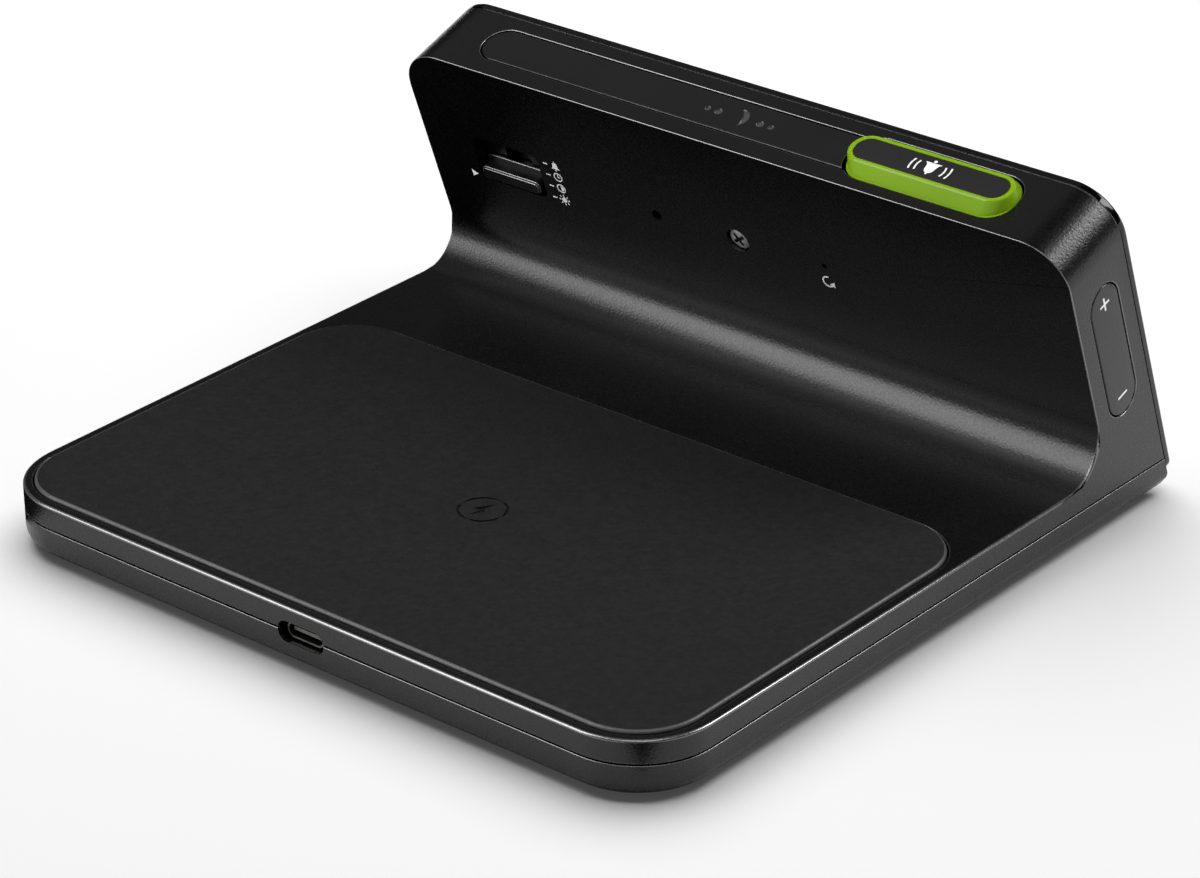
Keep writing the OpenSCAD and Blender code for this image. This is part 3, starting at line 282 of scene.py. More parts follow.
DARK_SEGMENT = moulded_plastic("dark_segment", (0.02, 0.02, 0.022), (0.03, 0.03, 0.032),
                               (0.4, 0.5), 1500, 0.005 * MM)
NICKEL = polished_metal("nickel", (0.86, 0.85, 0.83), (0.62, 0.61, 0.60),
                        (0.42, 0.60), 1400)
BRIGHT_STEEL = polished_metal("bright_steel", (0.72, 0.72, 0.72), (0.55, 0.55, 0.56),
                              (0.18, 0.30), 1600, (1, 6, 1))
BOARD_GREEN = circuit_board("board_green")
LENS_BLACK = smoked_lens("smoked_lens")
LENS_EDGE = moulded_plastic("lens_edge", (0.0010, 0.0010, 0.0010), (0.0016, 0.0016, 0.0016),
                            (0.05, 0.08), 400, 0.001 * MM, specular=0.3)
# A dark copy of the nickel for metal deep inside slots and ports: painted shade
SHADED_NICKEL = polished_metal("nickel_painted_shade", (0.20, 0.195, 0.185), (0.13, 0.125, 0.12),
                             (0.25, 0.4), 1400)
# A black that only gloss sees: it paints dark reflections on the clock
DARK_REFLECTION_BLACK = moulded_plastic("painted_dark_reflection", (0.001, 0.001, 0.001), (0.002, 0.002, 0.002),
                             (0.9, 1.0), 50, 0.0, specular=0.0)
LIT_WHITE = lit_diffuser("lit_white", (0.86, 0.93, 1.0), 9.0)
COPPER = wound_copper("wound_copper", (0, PAD_MID_Y, BASE_TOP - COIL_DROP), COIL_PITCH)

NODE_FINISH = {
    "upper_shell": BLACK, "lower_shell": BLACK, "front_lens": LENS_BLACK,
    "display_frame": INNER_BLACK, "digit_segments": DARK_SEGMENT, "display_leds": LAMP_YELLOW,
    "display_board": BOARD_GREEN, "snooze_bar": KEY_BLACK, "alarm_button": LIME,
    "alarm_inlay": INLAY_GREY, "key_board": BOARD_GREEN, "key_switches": SWITCH_BLACK,
    "volume_rocker": ROCKER_GREY, "rocker_pin": BRIGHT_STEEL, "side_board": BOARD_GREEN,
    # The slide switch behind its slot takes the shaded nickel: painted shade
    "side_switches": SWITCH_BLACK, "mode_slider": KEY_BLACK, "slide_switch": SHADED_NICKEL,
    "control_board": BOARD_GREEN, "reset_switch": SWITCH_BLACK, "reset_plunger": IVORY,
    "buzzer": INNER_BLACK, "rear_screw": NICKEL, "board_screws": NICKEL,
    "charging_pad": PAD_SOFT, "charging_coil": COPPER, "ferrite_sheet": FERRITE_GREY,
    "charging_board": BOARD_GREEN, "power_socket": NICKEL, "link_sockets": IVORY,
    "link_cable": CABLE_GREY, "case_screws": NICKEL, "rubber_feet": FOOT_BLACK,
}


def finish_nodes():
    """Gives each node of the frame its finish."""
    for name, material in NODE_FINISH.items():
        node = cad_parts[name]
        node.data.materials.clear()
        node.data.materials.append(material)


# Floor, surroundings and lights
FLOOR_HALF = 6.0
FLOOR_GREY = 0.80
FLOOR_ROUGH = 0.9
FLOOR_SHINE = 0.1
# The floor's own light near the clock, and the distances over which it rises to white
FLOOR_LIFT = 0.05
NEAR_FLOOR = 0.4
FAR_FLOOR = 1.6
WORLD_GREY = 0.03
# Lamps that light the clock: name, place, the point they look at, width, height and power
CLOCK_LAMPS = (("key_box", (-0.50, 0.52, 1.05), (0, 0, 0), 0.9, 0.9, 5.5),
               ("left_box", (0.31, 0.41, 0.42), (-0.05, -0.04, 0.03), 0.38, 0.66, 4.2),
               ("top_box", (0.55, -0.29, 0.83), (0, -0.04, 0.06), 0.8, 0.8, 0.4),
               ("right_box", (-0.42, -0.46, 0.50), (-0.05, 0, 0.02), 0.34, 0.34, 4.2))
FLOOR_LAMP = ("floor_wash", (0.18, -0.34, 1.10), (0, 0, 0), 1.75, 1.75, 28.0)
# Black sheets on the floor that only gloss sees, which paint dark reflections on the clock: name
# and two corners
DARK_REFLECTION_CARDS = (("dark_reflection_left", (0.0815, -0.065), (0.26, 0.10)),
         ("dark_reflection_corner", (-0.160, 0.082), (-0.082, 0.160)))
CARD_LIFT = 0.5 * MM


def add_object(form, name, material):
    """Turns a bmesh into an object of one material."""
    mesh = bpy.data.meshes.new(name)
    form.to_mesh(mesh)
    form.free()
    mesh.materials.append(material)
    made = bpy.data.objects.new(name, mesh)
    bpy.context.collection.objects.link(made)
    return made


def rectangle(form, place, width, height):
    """A flat rectangle round a place: returns its vertices."""
    place = place @ Matrix.Diagonal((width, height, 1, 1))
    return bmesh.ops.create_grid(form, x_segments=1, y_segments=1, size=0.5, matrix=place)["verts"]


def seen_ray(tree):
    """1 for the camera's own rays and for what gloss and glass show of the surroundings."""
    path = tree.nodes.new("ShaderNodeLightPath")
    first = add_node(tree, "ShaderNodeMath", operation="MAXIMUM")
    second = add_node(tree, "ShaderNodeMath", operation="MAXIMUM")
    tree.links.new(path.outputs["Is Camera Ray"], first.inputs[0])
    tree.links.new(path.outputs["Is Glossy Ray"], first.inputs[1])
    tree.links.new(first.outputs[0], second.inputs[0])
    tree.links.new(path.outputs["Is Transmission Ray"], second.inputs[1])
    return second.outputs[0]


def make_floor():
    """A pale floor that keeps the shadow near the clock and reads as white far off."""
    material, tree, shader = new_material("pale_floor")
    shader.inputs["Base Color"].default_value = (FLOOR_GREY, FLOOR_GREY, FLOOR_GREY, 1)
    shader.inputs["Roughness"].default_value = FLOOR_ROUGH
    shader.inputs["Specular IOR Level"].default_value = FLOOR_SHINE
    shader.inputs["Emission Color"].default_value = (1, 1, 1, 1)
    place = tree.nodes.new("ShaderNodeTexCoord")
    reach = add_node(tree, "ShaderNodeVectorMath", operation="LENGTH")
    tree.links.new(place.outputs["Object"], reach.inputs[0])
    far = add_node(tree, "ShaderNodeMapRange", From_Min=NEAR_FLOOR, From_Max=FAR_FLOOR,
                   To_Min=FLOOR_LIFT, To_Max=1.0)
    tree.links.new(reach.outputs["Value"], far.inputs["Value"])
    lift = add_node(tree, "ShaderNodeMath", operation="MULTIPLY")
    tree.links.new(seen_ray(tree), lift.inputs[0])
    tree.links.new(far.outputs[0], lift.inputs[1])
    tree.links.new(lift.outputs[0], shader.inputs["Emission Strength"])
    form = bmesh.new()
    bmesh.ops.create_grid(form, x_segments=1, y_segments=1, size=FLOOR_HALF)
    floor = add_object(form, "floor", material)


def make_world():
    """White to the camera, and a faint grey light on the clock."""
    world = bpy.data.worlds.new("studio")
    world.use_nodes = True
    tree = world.node_tree
    background = tree.nodes["Background"]
    background.inputs["Color"].default_value = (1, 1, 1, 1)
    path = tree.nodes.new("ShaderNodeLightPath")
    level = add_node(tree, "ShaderNodeMapRange", To_Min=WORLD_GREY, To_Max=1.0)
    tree.links.new(path.outputs["Is Camera Ray"], level.inputs["Value"])
    tree.links.new(level.outputs[0], background.inputs["Strength"])
    bpy.context.scene.world = world


def lamp_at(name, place, towards, width, height, power):
    """A rectangular lamp at a place, turned towards another."""
    data = bpy.data.lights.new(name, "AREA")
    data.shape = "RECTANGLE"
    data.size = width
    data.size_y = height
    data.energy = power
    lamp = bpy.data.objects.new(name, data)
    back = (Vector(place) - Vector(towards)).normalized()
    turn = back.to_track_quat("Z", "Y").to_matrix().to_4x4()
    lamp.matrix_world = Matrix.Translation(place) @ turn
    bpy.context.collection.objects.link(lamp)
    return lamp


def dark_reflection_card(name, low, high):
    """A black sheet on the floor beside the clock that only gloss sees: a painted dark reflection.
    """
    form = bmesh.new()
    place = Matrix.Translation(((low[0] + high[0]) / 2, (low[1] + high[1]) / 2, CARD_LIFT))
    rectangle(form, place, high[0] - low[0], high[1] - low[1])
    card = add_object(form, name, DARK_REFLECTION_BLACK)
    card.visible_camera = False
    card.visible_diffuse = False
    card.visible_shadow = False
    card.visible_transmission = False


def make_lights():
    """Lamps that leave the floor out, one that lights only the floor, and the sheets that paint
    dark reflections.
    """
    floor = bpy.data.objects["floor"]
    no_floor = bpy.data.collections.new("no_floor")
    no_floor.objects.link(floor)
    no_floor.collection_objects[0].light_linking.link_state = "EXCLUDE"
    only_floor = bpy.data.collections.new("only_floor")
    only_floor.objects.link(floor)
    for lamp in CLOCK_LAMPS:
        lamp_at(*lamp).light_linking.receiver_collection = no_floor
    lamp_at(*FLOOR_LAMP).light_linking.receiver_collection = only_floor
    for card in DARK_REFLECTION_CARDS:
        dark_reflection_card(*card)


# Pieces that dress the frame

WELD = 0.002 * MM
# Faces that turn by less than this, in radians, are one flat face
FLAT = 0.002
CRISP = math.radians(25)
# Widths of the shells' rounded edges: the outline, the rims of slots, the parting line
OUTLINE_SOFT = 0.5 * MM
SLOT_SOFT = 0.16 * MM
SEAM_SOFT = 0.1 * MM
SOFT_STEPS = 3
# Edges this near the parting line are its rims
SEAM_ZONE = 0.3 * MM
# The port in the rear edge, whose rim stays sharp
PORT_ZONE_X = 7 * MM
PORT_ZONE_Y = 70 * MM
# How nearly a face has to look down, or to the front, for its edges to stay sharp
LOOKS_DOWN = 0.98
LOOKS_FRONT = 0.9
PEEK = 0.02 * MM


def shade(form):
    """Smooth faces, with a crisp line wherever two of them meet at more than a slight angle."""
    for face in form.faces:
        face.smooth = True
    for line in form.edges:
        line.smooth = len(line.link_faces) == 2 and line.calc_face_angle(0) < CRISP


def put_in(form, name, material, body, replaced=()):
    """Turns a bmesh into a finished piece that rides on a body."""
    bmesh.ops.recalc_face_normals(form, faces=form.faces)
    shade(form)
    piece = add_object(form, name, material)
    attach(piece, body)
    if replaced:
        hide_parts(*replaced)
    return piece


def soften(piece, weight_of, width, edge=EDGE_HIGHLIGHT):
    """Rounds the crisp convex edges, each by its own share of the width, in a lighter finish that
    paints a highlight along them.
    """
    form = bmesh.new()
    form.from_mesh(piece.data)
    layer = form.edges.layers.float.new("bevel_weight_edge")
    for line in form.edges:
        if len(line.link_faces) == 2 and line.is_convex and line.calc_face_angle(0) > CRISP:
            line[layer] = weight_of(line)
    form.to_mesh(piece.data)
    form.free()
    piece.data.materials.append(edge)
    bevel = piece.modifiers.new("soft_edges", "BEVEL")
    bevel.width = width
    bevel.segments = SOFT_STEPS
    bevel.limit_method = "WEIGHT"
    bevel.use_clamp_overlap = False
    bevel.harden_normals = True
    bevel.material = len(piece.data.materials) - 1


def cad_form(node):
    """A welded copy of a node's mesh, with its flat faces made whole."""
    form = bmesh.new()
    form.from_mesh(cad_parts[node].data)
    bmesh.ops.remove_doubles(form, verts=form.verts, dist=WELD)
    bmesh.ops.dissolve_limit(form, angle_limit=FLAT, verts=form.verts, edges=form.edges)
    return form


def middle(edge):
    return (edge.verts[0].co + edge.verts[1].co) / 2


def open_faces(form):
    """The numbers of the faces that look out: a ray along their normal meets nothing."""
    tree = BVHTree.FromBMesh(form)
    outward = set()
    for face in form.faces:
        start = face.calc_center_median_weighted() + face.normal * PEEK
        if tree.ray_cast(start, face.normal)[0] is None:
            outward.add(face.index)
    return outward


def shell_weight(outward, seam_z):
    """Outer edges are the softest, and the rims of slots and of the parting line are finer."""
    def weight(edge):
        faces = [face for face in edge.link_faces if face.index in outward]
        if not faces:
            return 0
        if len(faces) == 1 and faces[0].normal.z < -LOOKS_DOWN:
            return 0
        if min(face.normal.y for face in faces) < -LOOKS_FRONT:
            return 0
        if all(vert.co.y > PORT_ZONE_Y and abs(vert.co.x) < PORT_ZONE_X for vert in edge.verts):
            return 0
        if abs(middle(edge).z - seam_z) < SEAM_ZONE:
            return SEAM_SOFT / OUTLINE_SOFT
        return 1 if len(faces) == 2 else SLOT_SOFT / OUTLINE_SOFT
    return weight


def make_shells():
    """The two housing shells, with their outer edges rounded and given a painted highlight."""
    for node, seam_z in (("upper_shell", SEAM_Z), ("lower_shell", SEAM_Z - SEAM_GAP)):
        form = cad_form(node)
        form.faces.index_update()
        outward = open_faces(form)
        skin = put_in(form, node + "_skin", BLACK, "housing", [node])
        soften(skin, shell_weight(outward, seam_z), OUTLINE_SOFT)


def make_softened(node, material, body, width):
    """A CAD piece with its crisp outer edges rounded and given a painted highlight."""
    skin = put_in(cad_form(node), node + "_skin", material, body, [node])
    soften(skin, lambda edge: 1, width)


# Frames of the marks: x to the reader's right, y up, z out of the surface
def rear_place(x, v):
    turn = Matrix(((-1, 0, 0), (0, 0, 1), (0, 1, 0))).to_4x4()
    return SLAB @ Matrix.Translation((x, SLAB_T, v)) @ turn


def top_place(x, u, rise=0.0):
    return SLAB @ Matrix.Translation((x, u, SLAB_LEN + rise))


def rocker_place(v):
    turn = Matrix(((0, 0, -1), (-1, 0, 0), (0, 1, 0))).to_4x4()
    return SLAB @ Matrix.Translation((-HALF_W, ROCKER_LINE, v)) @ turn


def pad_place():
    return Matrix.Translation((0, PAD_MID_Y, PAD_TOP))


# Outlines of the marks, each drawn in the plane z = 0. Their proportions are shares of the size.
CRESCENT_FOLD = -0.45
SUN_RAYS = 8


def dot(form, x, y, radius, segments=24):
    place = Matrix.Translation((x, y, 0))
    return bmesh.ops.create_circle(form, cap_ends=True, segments=segments, radius=radius,
                                   matrix=place)["verts"]


def stroke(form, x, y, length, width, turn=0.0):
    place = Matrix.Translation((x, y, 0)) @ Matrix.Rotation(turn, 4, "Z")
    rectangle(form, place, length, width)


def arc(form, x, y, radius, width, start=0.0, sweep=2 * math.pi, steps=32):
    """A stroke bent round a centre."""
    full = math.isclose(sweep, 2 * math.pi)
    turn = Matrix.Rotation(start, 4, "Z")
    ends = [form.verts.new(turn @ Vector((r, 0, 0)) + Vector((x, y, 0)))
            for r in (radius - width / 2, radius + width / 2)]
    edge = form.edges.new(ends)
    bmesh.ops.spin(form, geom=ends + [edge], cent=(x, y, 0), axis=(0, 0, 1), angle=sweep,
                   steps=steps, use_merge=full)


def pointer(form, x, y, radius, turn=0.0):
    place = Matrix.Translation((x, y, 0)) @ Matrix.Rotation(turn, 4, "Z")
    bmesh.ops.create_circle(form, cap_ends=True, segments=3, radius=radius, matrix=place)


def crescent(form, x, y, radius, turn=0.0):
    """A disc whose one half is folded back into the other."""
    verts = bmesh.ops.create_circle(form, cap_ends=True, segments=48, radius=radius)["verts"]
    for vert in verts:
        if vert.co.x > 0:
            vert.co.x *= CRESCENT_FOLD
    bmesh.ops.transform(form, verts=verts,
                        matrix=Matrix.Translation((x, y, 0)) @ Matrix.Rotation(turn, 4, "Z"))


# A bell from its rim up to its knob: height and half width
BELL_ROWS = ((-0.33, 0.46), (-0.29, 0.44), (-0.24, 0.36), (-0.14, 0.31), (0.0, 0.28),
             (0.14, 0.265), (0.24, 0.235), (0.32, 0.18), (0.375, 0.11), (0.40, 0.06),
             (0.47, 0.055), (0.50, 0.02))


def bell(form, x, y, size):
    """A bell, from a grid whose rows take the bell's half widths, and its clapper."""
    last = len(BELL_ROWS) - 1
    for vert in bmesh.ops.create_grid(form, x_segments=1, y_segments=last, size=0.5)["verts"]:
        height, half = BELL_ROWS[round((vert.co.y + 0.5) * last)]
        vert.co = (x + math.copysign(half, vert.co.x) * size, y + height * size, 0)
    dot(form, x, y - 0.45 * size, 0.09 * size, 12)


def sun(form, x, y, size):
    """A disc with short rays."""
    dot(form, x, y, 0.24 * size)
    reach = 0.42 * size
    for step in range(SUN_RAYS):
        turn = step * 2 * math.pi / SUN_RAYS
        stroke(form, x + reach * math.cos(turn), y + reach * math.sin(turn), 0.17 * size,
               0.09 * size, turn)


def clock_face(form, x, y, size):
    """A ring with two hands."""
    arc(form, x, y, 0.43 * size, 0.11 * size)
    stroke(form, x, y + 0.12 * size, 0.1 * size, 0.33 * size)
    stroke(form, x + 0.14 * size, y, 0.17 * size, 0.1 * size)


def half_moon(form, x, y, size):
    """A ring whose right half is filled."""
    arc(form, x, y, 0.43 * size, 0.1 * size)
    for vert in dot(form, x, y, 0.3 * size):
        vert.co.x = max(vert.co.x, x)


BOLT_POINTS = ((0.12, 0.5), (-0.28, -0.07), (-0.02, -0.07), (-0.12, -0.5), (0.28, 0.09),
               (0.03, 0.09))


def bolt(form, x, y, size):
    """A zigzag bolt."""
    form.faces.new([form.verts.new((x + a * size, y + b * size, 0)) for a, b in BOLT_POINTS])


def thicken(form, place, above, below):
    """Gives flat outlines their thickness and puts them in place."""
    bmesh.ops.dissolve_limit(form, angle_limit=FLAT, verts=form.verts, edges=form.edges)
    flat = list(form.faces)
    bmesh.ops.recalc_face_normals(form, faces=flat)
    bmesh.ops.translate(form, vec=(0, 0, -below), verts=form.verts)
    grown = bmesh.ops.extrude_face_region(form, geom=flat, use_keep_orig=True)["geom"]
    verts = [part for part in grown if isinstance(part, bmesh.types.BMVert)]
    bmesh.ops.translate(form, vec=(0, 0, above + below), verts=verts)
    bmesh.ops.transform(form, matrix=place, verts=form.verts)
    bmesh.ops.recalc_face_normals(form, faces=form.faces)


# The marks: each drawing is a function with its place and measures, in millimetres
SNOOZE_MARK = ((crescent, 0.5, 0, 2.5, math.radians(20)), (dot, -5.0, 0, 0.85),
               (dot, -7.6, 0, 0.65), (dot, 5.0, 0, 0.85), (dot, 7.6, 0, 0.65))
ALARM_MARK = ((bell, 0, 0, 3.9), (arc, 0, 0.2, 3.1, 0.34, math.radians(-24), math.radians(48), 10),
              (arc, 0, 0.2, 3.1, 0.34, math.radians(156), math.radians(48), 10),
              (arc, 0, 0.2, 4.3, 0.34, math.radians(-20), math.radians(40), 10),
              (arc, 0, 0.2, 4.3, 0.34, math.radians(160), math.radians(40), 10))
RESET_MARK = ((arc, 0, 0, 1.2, 0.34, math.radians(75), math.radians(241), 28),
              (pointer, 1.08, -0.5, 0.78, math.radians(-28)))
PAD_MARK = ((arc, 0, 0, 4.6, 0.55), (bolt, 0, 0, 6.2))
PLUS_MARK = ((stroke, 0, 0, 2.9, 0.45), (stroke, 0, 0.84, 0.45, 1.22),
             (stroke, 0, -0.84, 0.45, 1.22))
MINUS_MARK = ((stroke, 0, 0, 2.9, 0.45),)
SWITCH_POINTER = ((pointer, 0, 0, 1.0, -math.pi / 2),)
POSITION_TICK = (stroke, -2.5, 0, 1.1, 0.3)
# The four positions of the slide switch: height up the slope, symbol and its size
POSITIONS = ((40.95, bell, 2.3), (38.1, clock_face, 2.3), (35.2, half_moon, 2.3),
             (32.2, sun, 2.7))
# Places on the rear face, across and up the slope, and on the rocker, up the slope
POINTER_X, POINTER_V = 69.1 * MM, 31.55 * MM
SYMBOLS_X = 45.0 * MM
RESET_X, RESET_V = -21.1 * MM, 33.7 * MM
PLUS_V = 41.9 * MM
MINUS_V = 19.4 * MM
# Rims within this of the top are rounded, save those within a mark's reach of its middle
RIM_ZONE = 0.05 * MM
MARK_REACH = 9 * MM
# Widths of the rounded edges of the snooze bar, the pad, the rocker and the slider's knob
KEY_RIM_SOFT = 0.14 * MM
PAD_RIM_SOFT = 0.4 * MM
ROCKER_SOFT = 0.12 * MM
KNOB_SOFT = 0.2 * MM
# Least and most upward look of the faces of the pad's bevelled rim, which take the painted
# highlight
PAD_RIM_LOW = 0.05
PAD_RIM_HIGH = 0.98
# How far ink stands out of its surface and goes into it, and a groove's depth and its cutter's top
PRINT_RISE = 0.03 * MM
PRINT_DEPTH = 0.03 * MM
DEBOSS = 0.22 * MM
CUTTER_RISE = 1 * MM


def drawn(drawings, place, above, below):
    """A thin solid from drawings, that stands on both sides of a place's surface."""
    form = bmesh.new()
    for draw, *numbers in drawings:
        draw(form, *numbers)
    bmesh.ops.scale(form, vec=(MM, MM, 1), verts=form.verts)
    thicken(form, place, above, below)
    return form


def print_mark(name, place, drawings, body):
    """White ink, a little raised."""
    put_in(drawn(drawings, place, PRINT_RISE, PRINT_DEPTH), name, PRINT_WHITE, body)


def carve(piece, place, drawings, groove):
    """Sinks drawings into a piece and paints the groove in a finish of its own: a lighter one is a
    painted highlight, a darker one painted shade.
    """
    cutter = add_object(drawn(drawings, place, CUTTER_RISE, DEBOSS), "cutter", groove)
    cut = piece.modifiers.new("mark", "BOOLEAN")
    cut.operation = "DIFFERENCE"
    cut.solver = "EXACT"
    cut.material_mode = "TRANSFER"
    cut.object = cutter
    evaluated = piece.evaluated_get(bpy.context.evaluated_depsgraph_get())
    marked = bpy.data.meshes.new_from_object(evaluated)
    piece.modifiers.clear()
    piece.data = marked
    bpy.data.objects.remove(cutter)
    form = bmesh.new()
    form.from_mesh(marked)
    shade(form)
    form.to_mesh(marked)
    form.free()


def make_prints():
    """The symbols beside the slide switch, the reset hole and on the rocker."""
    print_mark("switch_pointer", rear_place(POINTER_X, POINTER_V), SWITCH_POINTER, "housing")
    for number, (height, symbol, size) in enumerate(POSITIONS):
        print_mark("switch_symbol_%d" % (number + 1), rear_place(SYMBOLS_X, height * MM),
                   ((symbol, 0, 0, size), POSITION_TICK), "housing")
    print_mark("reset_mark", rear_place(RESET_X, RESET_V), RESET_MARK, "housing")
    print_mark("volume_plus", rocker_place(PLUS_V), PLUS_MARK, "rocker_key")
    print_mark("volume_minus", rocker_place(MINUS_V), MINUS_MARK, "rocker_key")


def finish_faces(piece, material, wanted):
    """Gives another finish to the faces that a test on their normal picks."""
    piece.data.materials.append(material)
    slot_number = len(piece.data.materials) - 1
    for face in piece.data.polygons:
        if wanted(face.normal):
            face.material_index = slot_number


def rim_weight(place):
    """Picks the rim of the surface that a place lies on, clear of the mark in its middle."""
    to_surface = place.inverted()

    def weight(edge):
        clear = min((vert.co - place.translation).length for vert in edge.verts) > MARK_REACH
        return clear and (to_surface @ middle(edge)).z > -RIM_ZONE
    return weight


def make_keys():
    """The rocker, the slider's knob and the snooze bar."""
    make_softened("volume_rocker", ROCKER_GREY, "rocker_key", ROCKER_SOFT)
    make_softened("mode_slider", KEY_BLACK, "mode_knob", KNOB_SOFT)
    bar = put_in(cad_form("snooze_bar"), "snooze_bar_skin", KEY_BLACK, "snooze_key",
                 ["snooze_bar"])
    # The groove walls take the lighter edge finish: a painted highlight in the mark
    carve(bar, top_place(0, KEY_LINE), SNOOZE_MARK, EDGE_HIGHLIGHT)
    soften(bar, rim_weight(top_place(0, KEY_LINE)), KEY_RIM_SOFT)


def make_pad():
    """The charging pad, with its mark and a paler rim that paints a highlight along its edge."""
    pad = put_in(cad_form("charging_pad"), "charging_pad_skin", PAD_SOFT, "housing",
                 ["charging_pad"])
    finish_faces(pad, PAD_EDGE_HIGHLIGHT, lambda normal: PAD_RIM_LOW < normal.z < PAD_RIM_HIGH)
    # The mark's groove takes the darker housing black: painted shade in the deboss
    carve(pad, pad_place(), PAD_MARK, BLACK)
    soften(pad, rim_weight(pad_place()), PAD_RIM_SOFT, PAD_EDGE_HIGHLIGHT)


CORNER_STEPS = 16


def rounded_outline(form, half_x, half_y, radius, height):
    """The outline of a plate with round corners: returns its edges."""
    verts = rectangle(form, Matrix.Translation((0, 0, height)), 2 * half_x, 2 * half_y)
    face = verts[0].link_faces[0]
    rounded = bmesh.ops.bevel(form, geom=verts, affect="VERTICES", offset=radius,
                              segments=CORNER_STEPS, profile=0.5, material=-1)
    loop = {edge for vert in rounded["verts"] for edge in vert.link_edges}
    loop |= set(face.edges) if face.is_valid else set()
    faces = {other for edge in loop for other in edge.link_faces}
    bmesh.ops.delete(form, geom=list(faces), context="FACES_ONLY")
    return [edge for edge in loop if edge.is_valid]


# Outlines from the foot up, in millimetres: half length, half width, corner radius and height
# from the top face
BUTTON_RINGS = ((18.5, 5.7, 5.2, -0.9), (18.5, 5.7, 5.2, -0.45), (18.42, 5.3, 5.15, -0.4),
                (18.4, 5.2, 5.1, -0.25), (18.32, 4.0, 3.98, 1.86),
                (18.28, 3.86, 3.85, 2.06), (18.17, 3.72, 3.71, 2.22), (17.98, 3.56, 3.55, 2.3),
                (17.62, 3.3, 3.29, 2.3), (17.3, 3.03, 3.02, 2.26), (17.22, 2.96, 2.95, 2.14),
                (17.22, 2.96, 2.95, 1.5))
INLAY_RINGS = ((17.16, 2.9, 2.89, 1.5), (17.16, 2.9, 2.89, 2.17), (17.12, 2.86, 2.85, 2.23),
               (17.02, 2.78, 2.77, 2.25))


def lofted(rings, place):
    """A closed form through round-cornered outlines, given in millimetres."""
    form = bmesh.new()
    loops = [rounded_outline(form, a * MM, b * MM, c * MM, h * MM) for a, b, c, h in rings]
    for lower, upper in zip(loops, loops[1:]):
        bmesh.ops.bridge_loops(form, edges=lower + upper)
    for loop in (loops[0], loops[-1]):
        bmesh.ops.contextual_create(form, geom=loop)
    bmesh.ops.transform(form, matrix=place, verts=form.verts)
    return form


def make_alarm_button():
    """The green key, lofted through its outlines, with the dark plate set in its top."""
    place = top_place(ALARM_X, KEY_LINE)
    put_in(lofted(BUTTON_RINGS, place), "alarm_button_skin", LIME, "alarm_key",
           ["alarm_button"])
    put_in(lofted(INLAY_RINGS, place), "alarm_inlay_plate", INLAY_GREY, "alarm_key",
           ["alarm_inlay"])
    print_mark("alarm_symbol", top_place(ALARM_X, KEY_LINE, ALARM_RISE - INLAY_SINK),
               ALARM_MARK, "alarm_key")


# The housing screw's half profile: radius and height from the rear face, in millimetres
SCREW_PROFILE = ((0, -0.28), (0.8, -0.31), (1.5, -0.4), (2.05, -0.55), (2.4, -0.75), (2.53, -0.98),
                 (2.55, -1.2), (2.55, -2.0), (1.3, -2.0), (1.3, -10.0), (0, -10.0))
SCREW_V = 36.85 * MM
SCREW_STEPS = 48
# The cross recess: how far below the rear face its grooves start, their turns in degrees, and
# their length and width in millimetres
CROSS_SINK = 0.85 * MM
CROSS_TURNS = (35, 125)
CROSS_LEN = 3.1
CROSS_W = 0.75


def make_rear_screw():
    """A domed head with a cross recess, turned from its profile; the recess is painted dark as
    shade.
    """
    form = bmesh.new()
    verts = [form.verts.new((r * MM, 0, h * MM)) for r, h in SCREW_PROFILE]
    edges = [form.edges.new(pair) for pair in zip(verts, verts[1:])]
    bmesh.ops.spin(form, geom=verts + edges, cent=(0, 0, 0), axis=(0, 0, 1), angle=2 * math.pi,
                   steps=SCREW_STEPS, use_merge=True)
    bmesh.ops.remove_doubles(form, verts=form.verts, dist=WELD)
    place = rear_place(0, SCREW_V)
    bmesh.ops.transform(form, matrix=place, verts=form.verts)
    screw = put_in(form, "rear_screw_head", NICKEL, "housing", ["rear_screw"])
    # The cross recess takes a dark plastic finish: painted shade in the metal's hollow
    for turn in CROSS_TURNS:
        carve(screw, place @ Matrix.Translation((0, 0, -CROSS_SINK)),
              [(stroke, 0, 0, CROSS_LEN, CROSS_W, math.radians(turn))], INNER_BLACK)


# The shown time: for each digit from the left, whether its top, middle and bottom strokes and
# its upper left, upper right, lower left and lower right strokes are lit
SHOWN_DIGITS = ((0, 0, 0, 0, 1, 0, 1), (1, 0, 1, 1, 1, 1, 1), (1, 0, 1, 1, 1, 1, 1),
                (1, 1, 1, 1, 1, 1, 1))
# In millimetres: the middles of the digits across and up, how near its digit's middle a crosswise
# stroke lies and how near it the middle one lies, and how near the display's middle the colon lies
DIGIT_PLACES = (-39.5, -16.0, 16.0, 39.5)
DIGIT_MID = 27.5
CROSSWISE = 3
MIDDLE_ROW = 5
COLON_REACH = 5


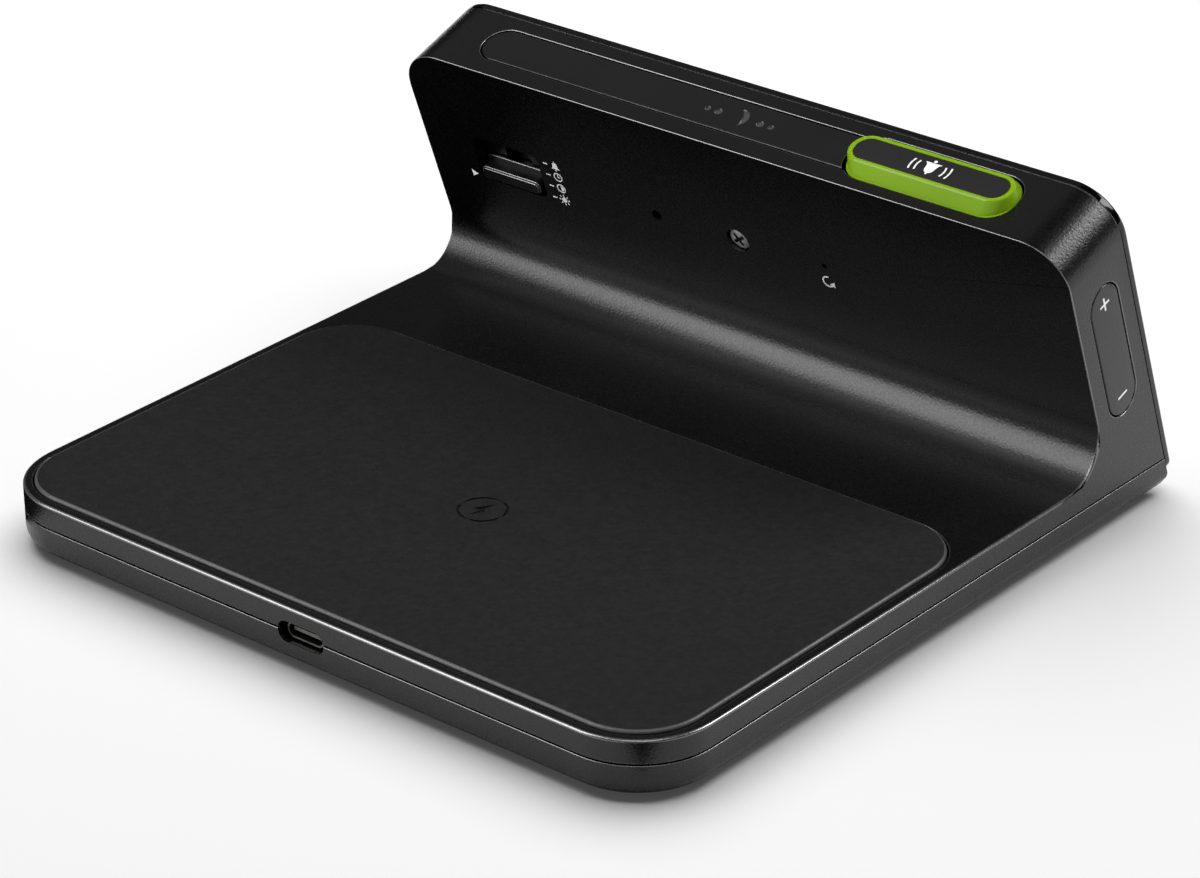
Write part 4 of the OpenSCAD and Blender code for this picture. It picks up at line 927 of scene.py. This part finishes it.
def is_lit(centre):
    """Whether the stroke at a place of the display, in millimetres, is lit."""
    if abs(centre.x) < COLON_REACH:
        return True
    digit = min(range(len(DIGIT_PLACES)), key=lambda number: abs(centre.x - DIGIT_PLACES[number]))
    across, up = centre.x - DIGIT_PLACES[digit], centre.z - DIGIT_MID
    if abs(across) < CROSSWISE:
        stroke_number = 0 if up > MIDDLE_ROW else 2 if up < -MIDDLE_ROW else 1
    else:
        stroke_number = 3 + (across > 0) + 2 * (up < 0)
    return bool(SHOWN_DIGITS[digit][stroke_number])


def islands(form):
    """The separate solids of a form, as sets of faces."""
    left = set(form.faces)
    found = []
    while left:
        group, reached = set(), [left.pop()]
        while reached:
            face = reached.pop()
            group.add(face)
            near = {other for edge in face.edges for other in edge.link_faces} & left
            left -= near
            reached.extend(near)
        found.append(group)
    return found


# Faces of the lens that look along its depth by more than this are its clear front and back
LENS_FLAT = 0.998


def make_lens():
    """The lens, clear through its two faces and opaque gloss black round its rim."""
    lens = put_in(cad_form("front_lens"), "front_lens_skin", LENS_BLACK, "housing",
                  ["front_lens"])
    through = SLAB.to_3x3() @ Vector((0, 1, 0))
    finish_faces(lens, LENS_EDGE, lambda normal: abs(normal.dot(through)) < LENS_FLAT)


def make_socket():
    """The socket's metal shell, welded so that its turned edges are shaded round, in the darker
    nickel that paints the shade inside the port.
    """
    put_in(cad_form("power_socket"), "power_socket_skin", SHADED_NICKEL, "housing",
           ["power_socket"])


def make_digits():
    """The diffusers behind the lens, those of the shown time lit."""
    to_slab = SLAB.inverted()
    for name, wanted, material in (("lit_segments", True, LIT_WHITE),
                                   ("dark_segments", False, DARK_SEGMENT)):
        form = cad_form("digit_segments")
        for group in islands(form):
            centre = sum((face.calc_center_median() for face in group), Vector()) / len(group)
            if is_lit(to_slab @ centre / MM) != wanted:
                bmesh.ops.delete(form, geom=list(group), context="FACES")
        put_in(form, name, material, "housing", ["digit_segments"])


make_camera()
make_floor()
make_world()
make_lights()
finish_nodes()
make_shells()
make_keys()
make_pad()
make_alarm_button()
make_rear_screw()
make_lens()
make_socket()
make_digits()
make_prints()

bpy.context.scene.view_settings.view_transform = "Standard"
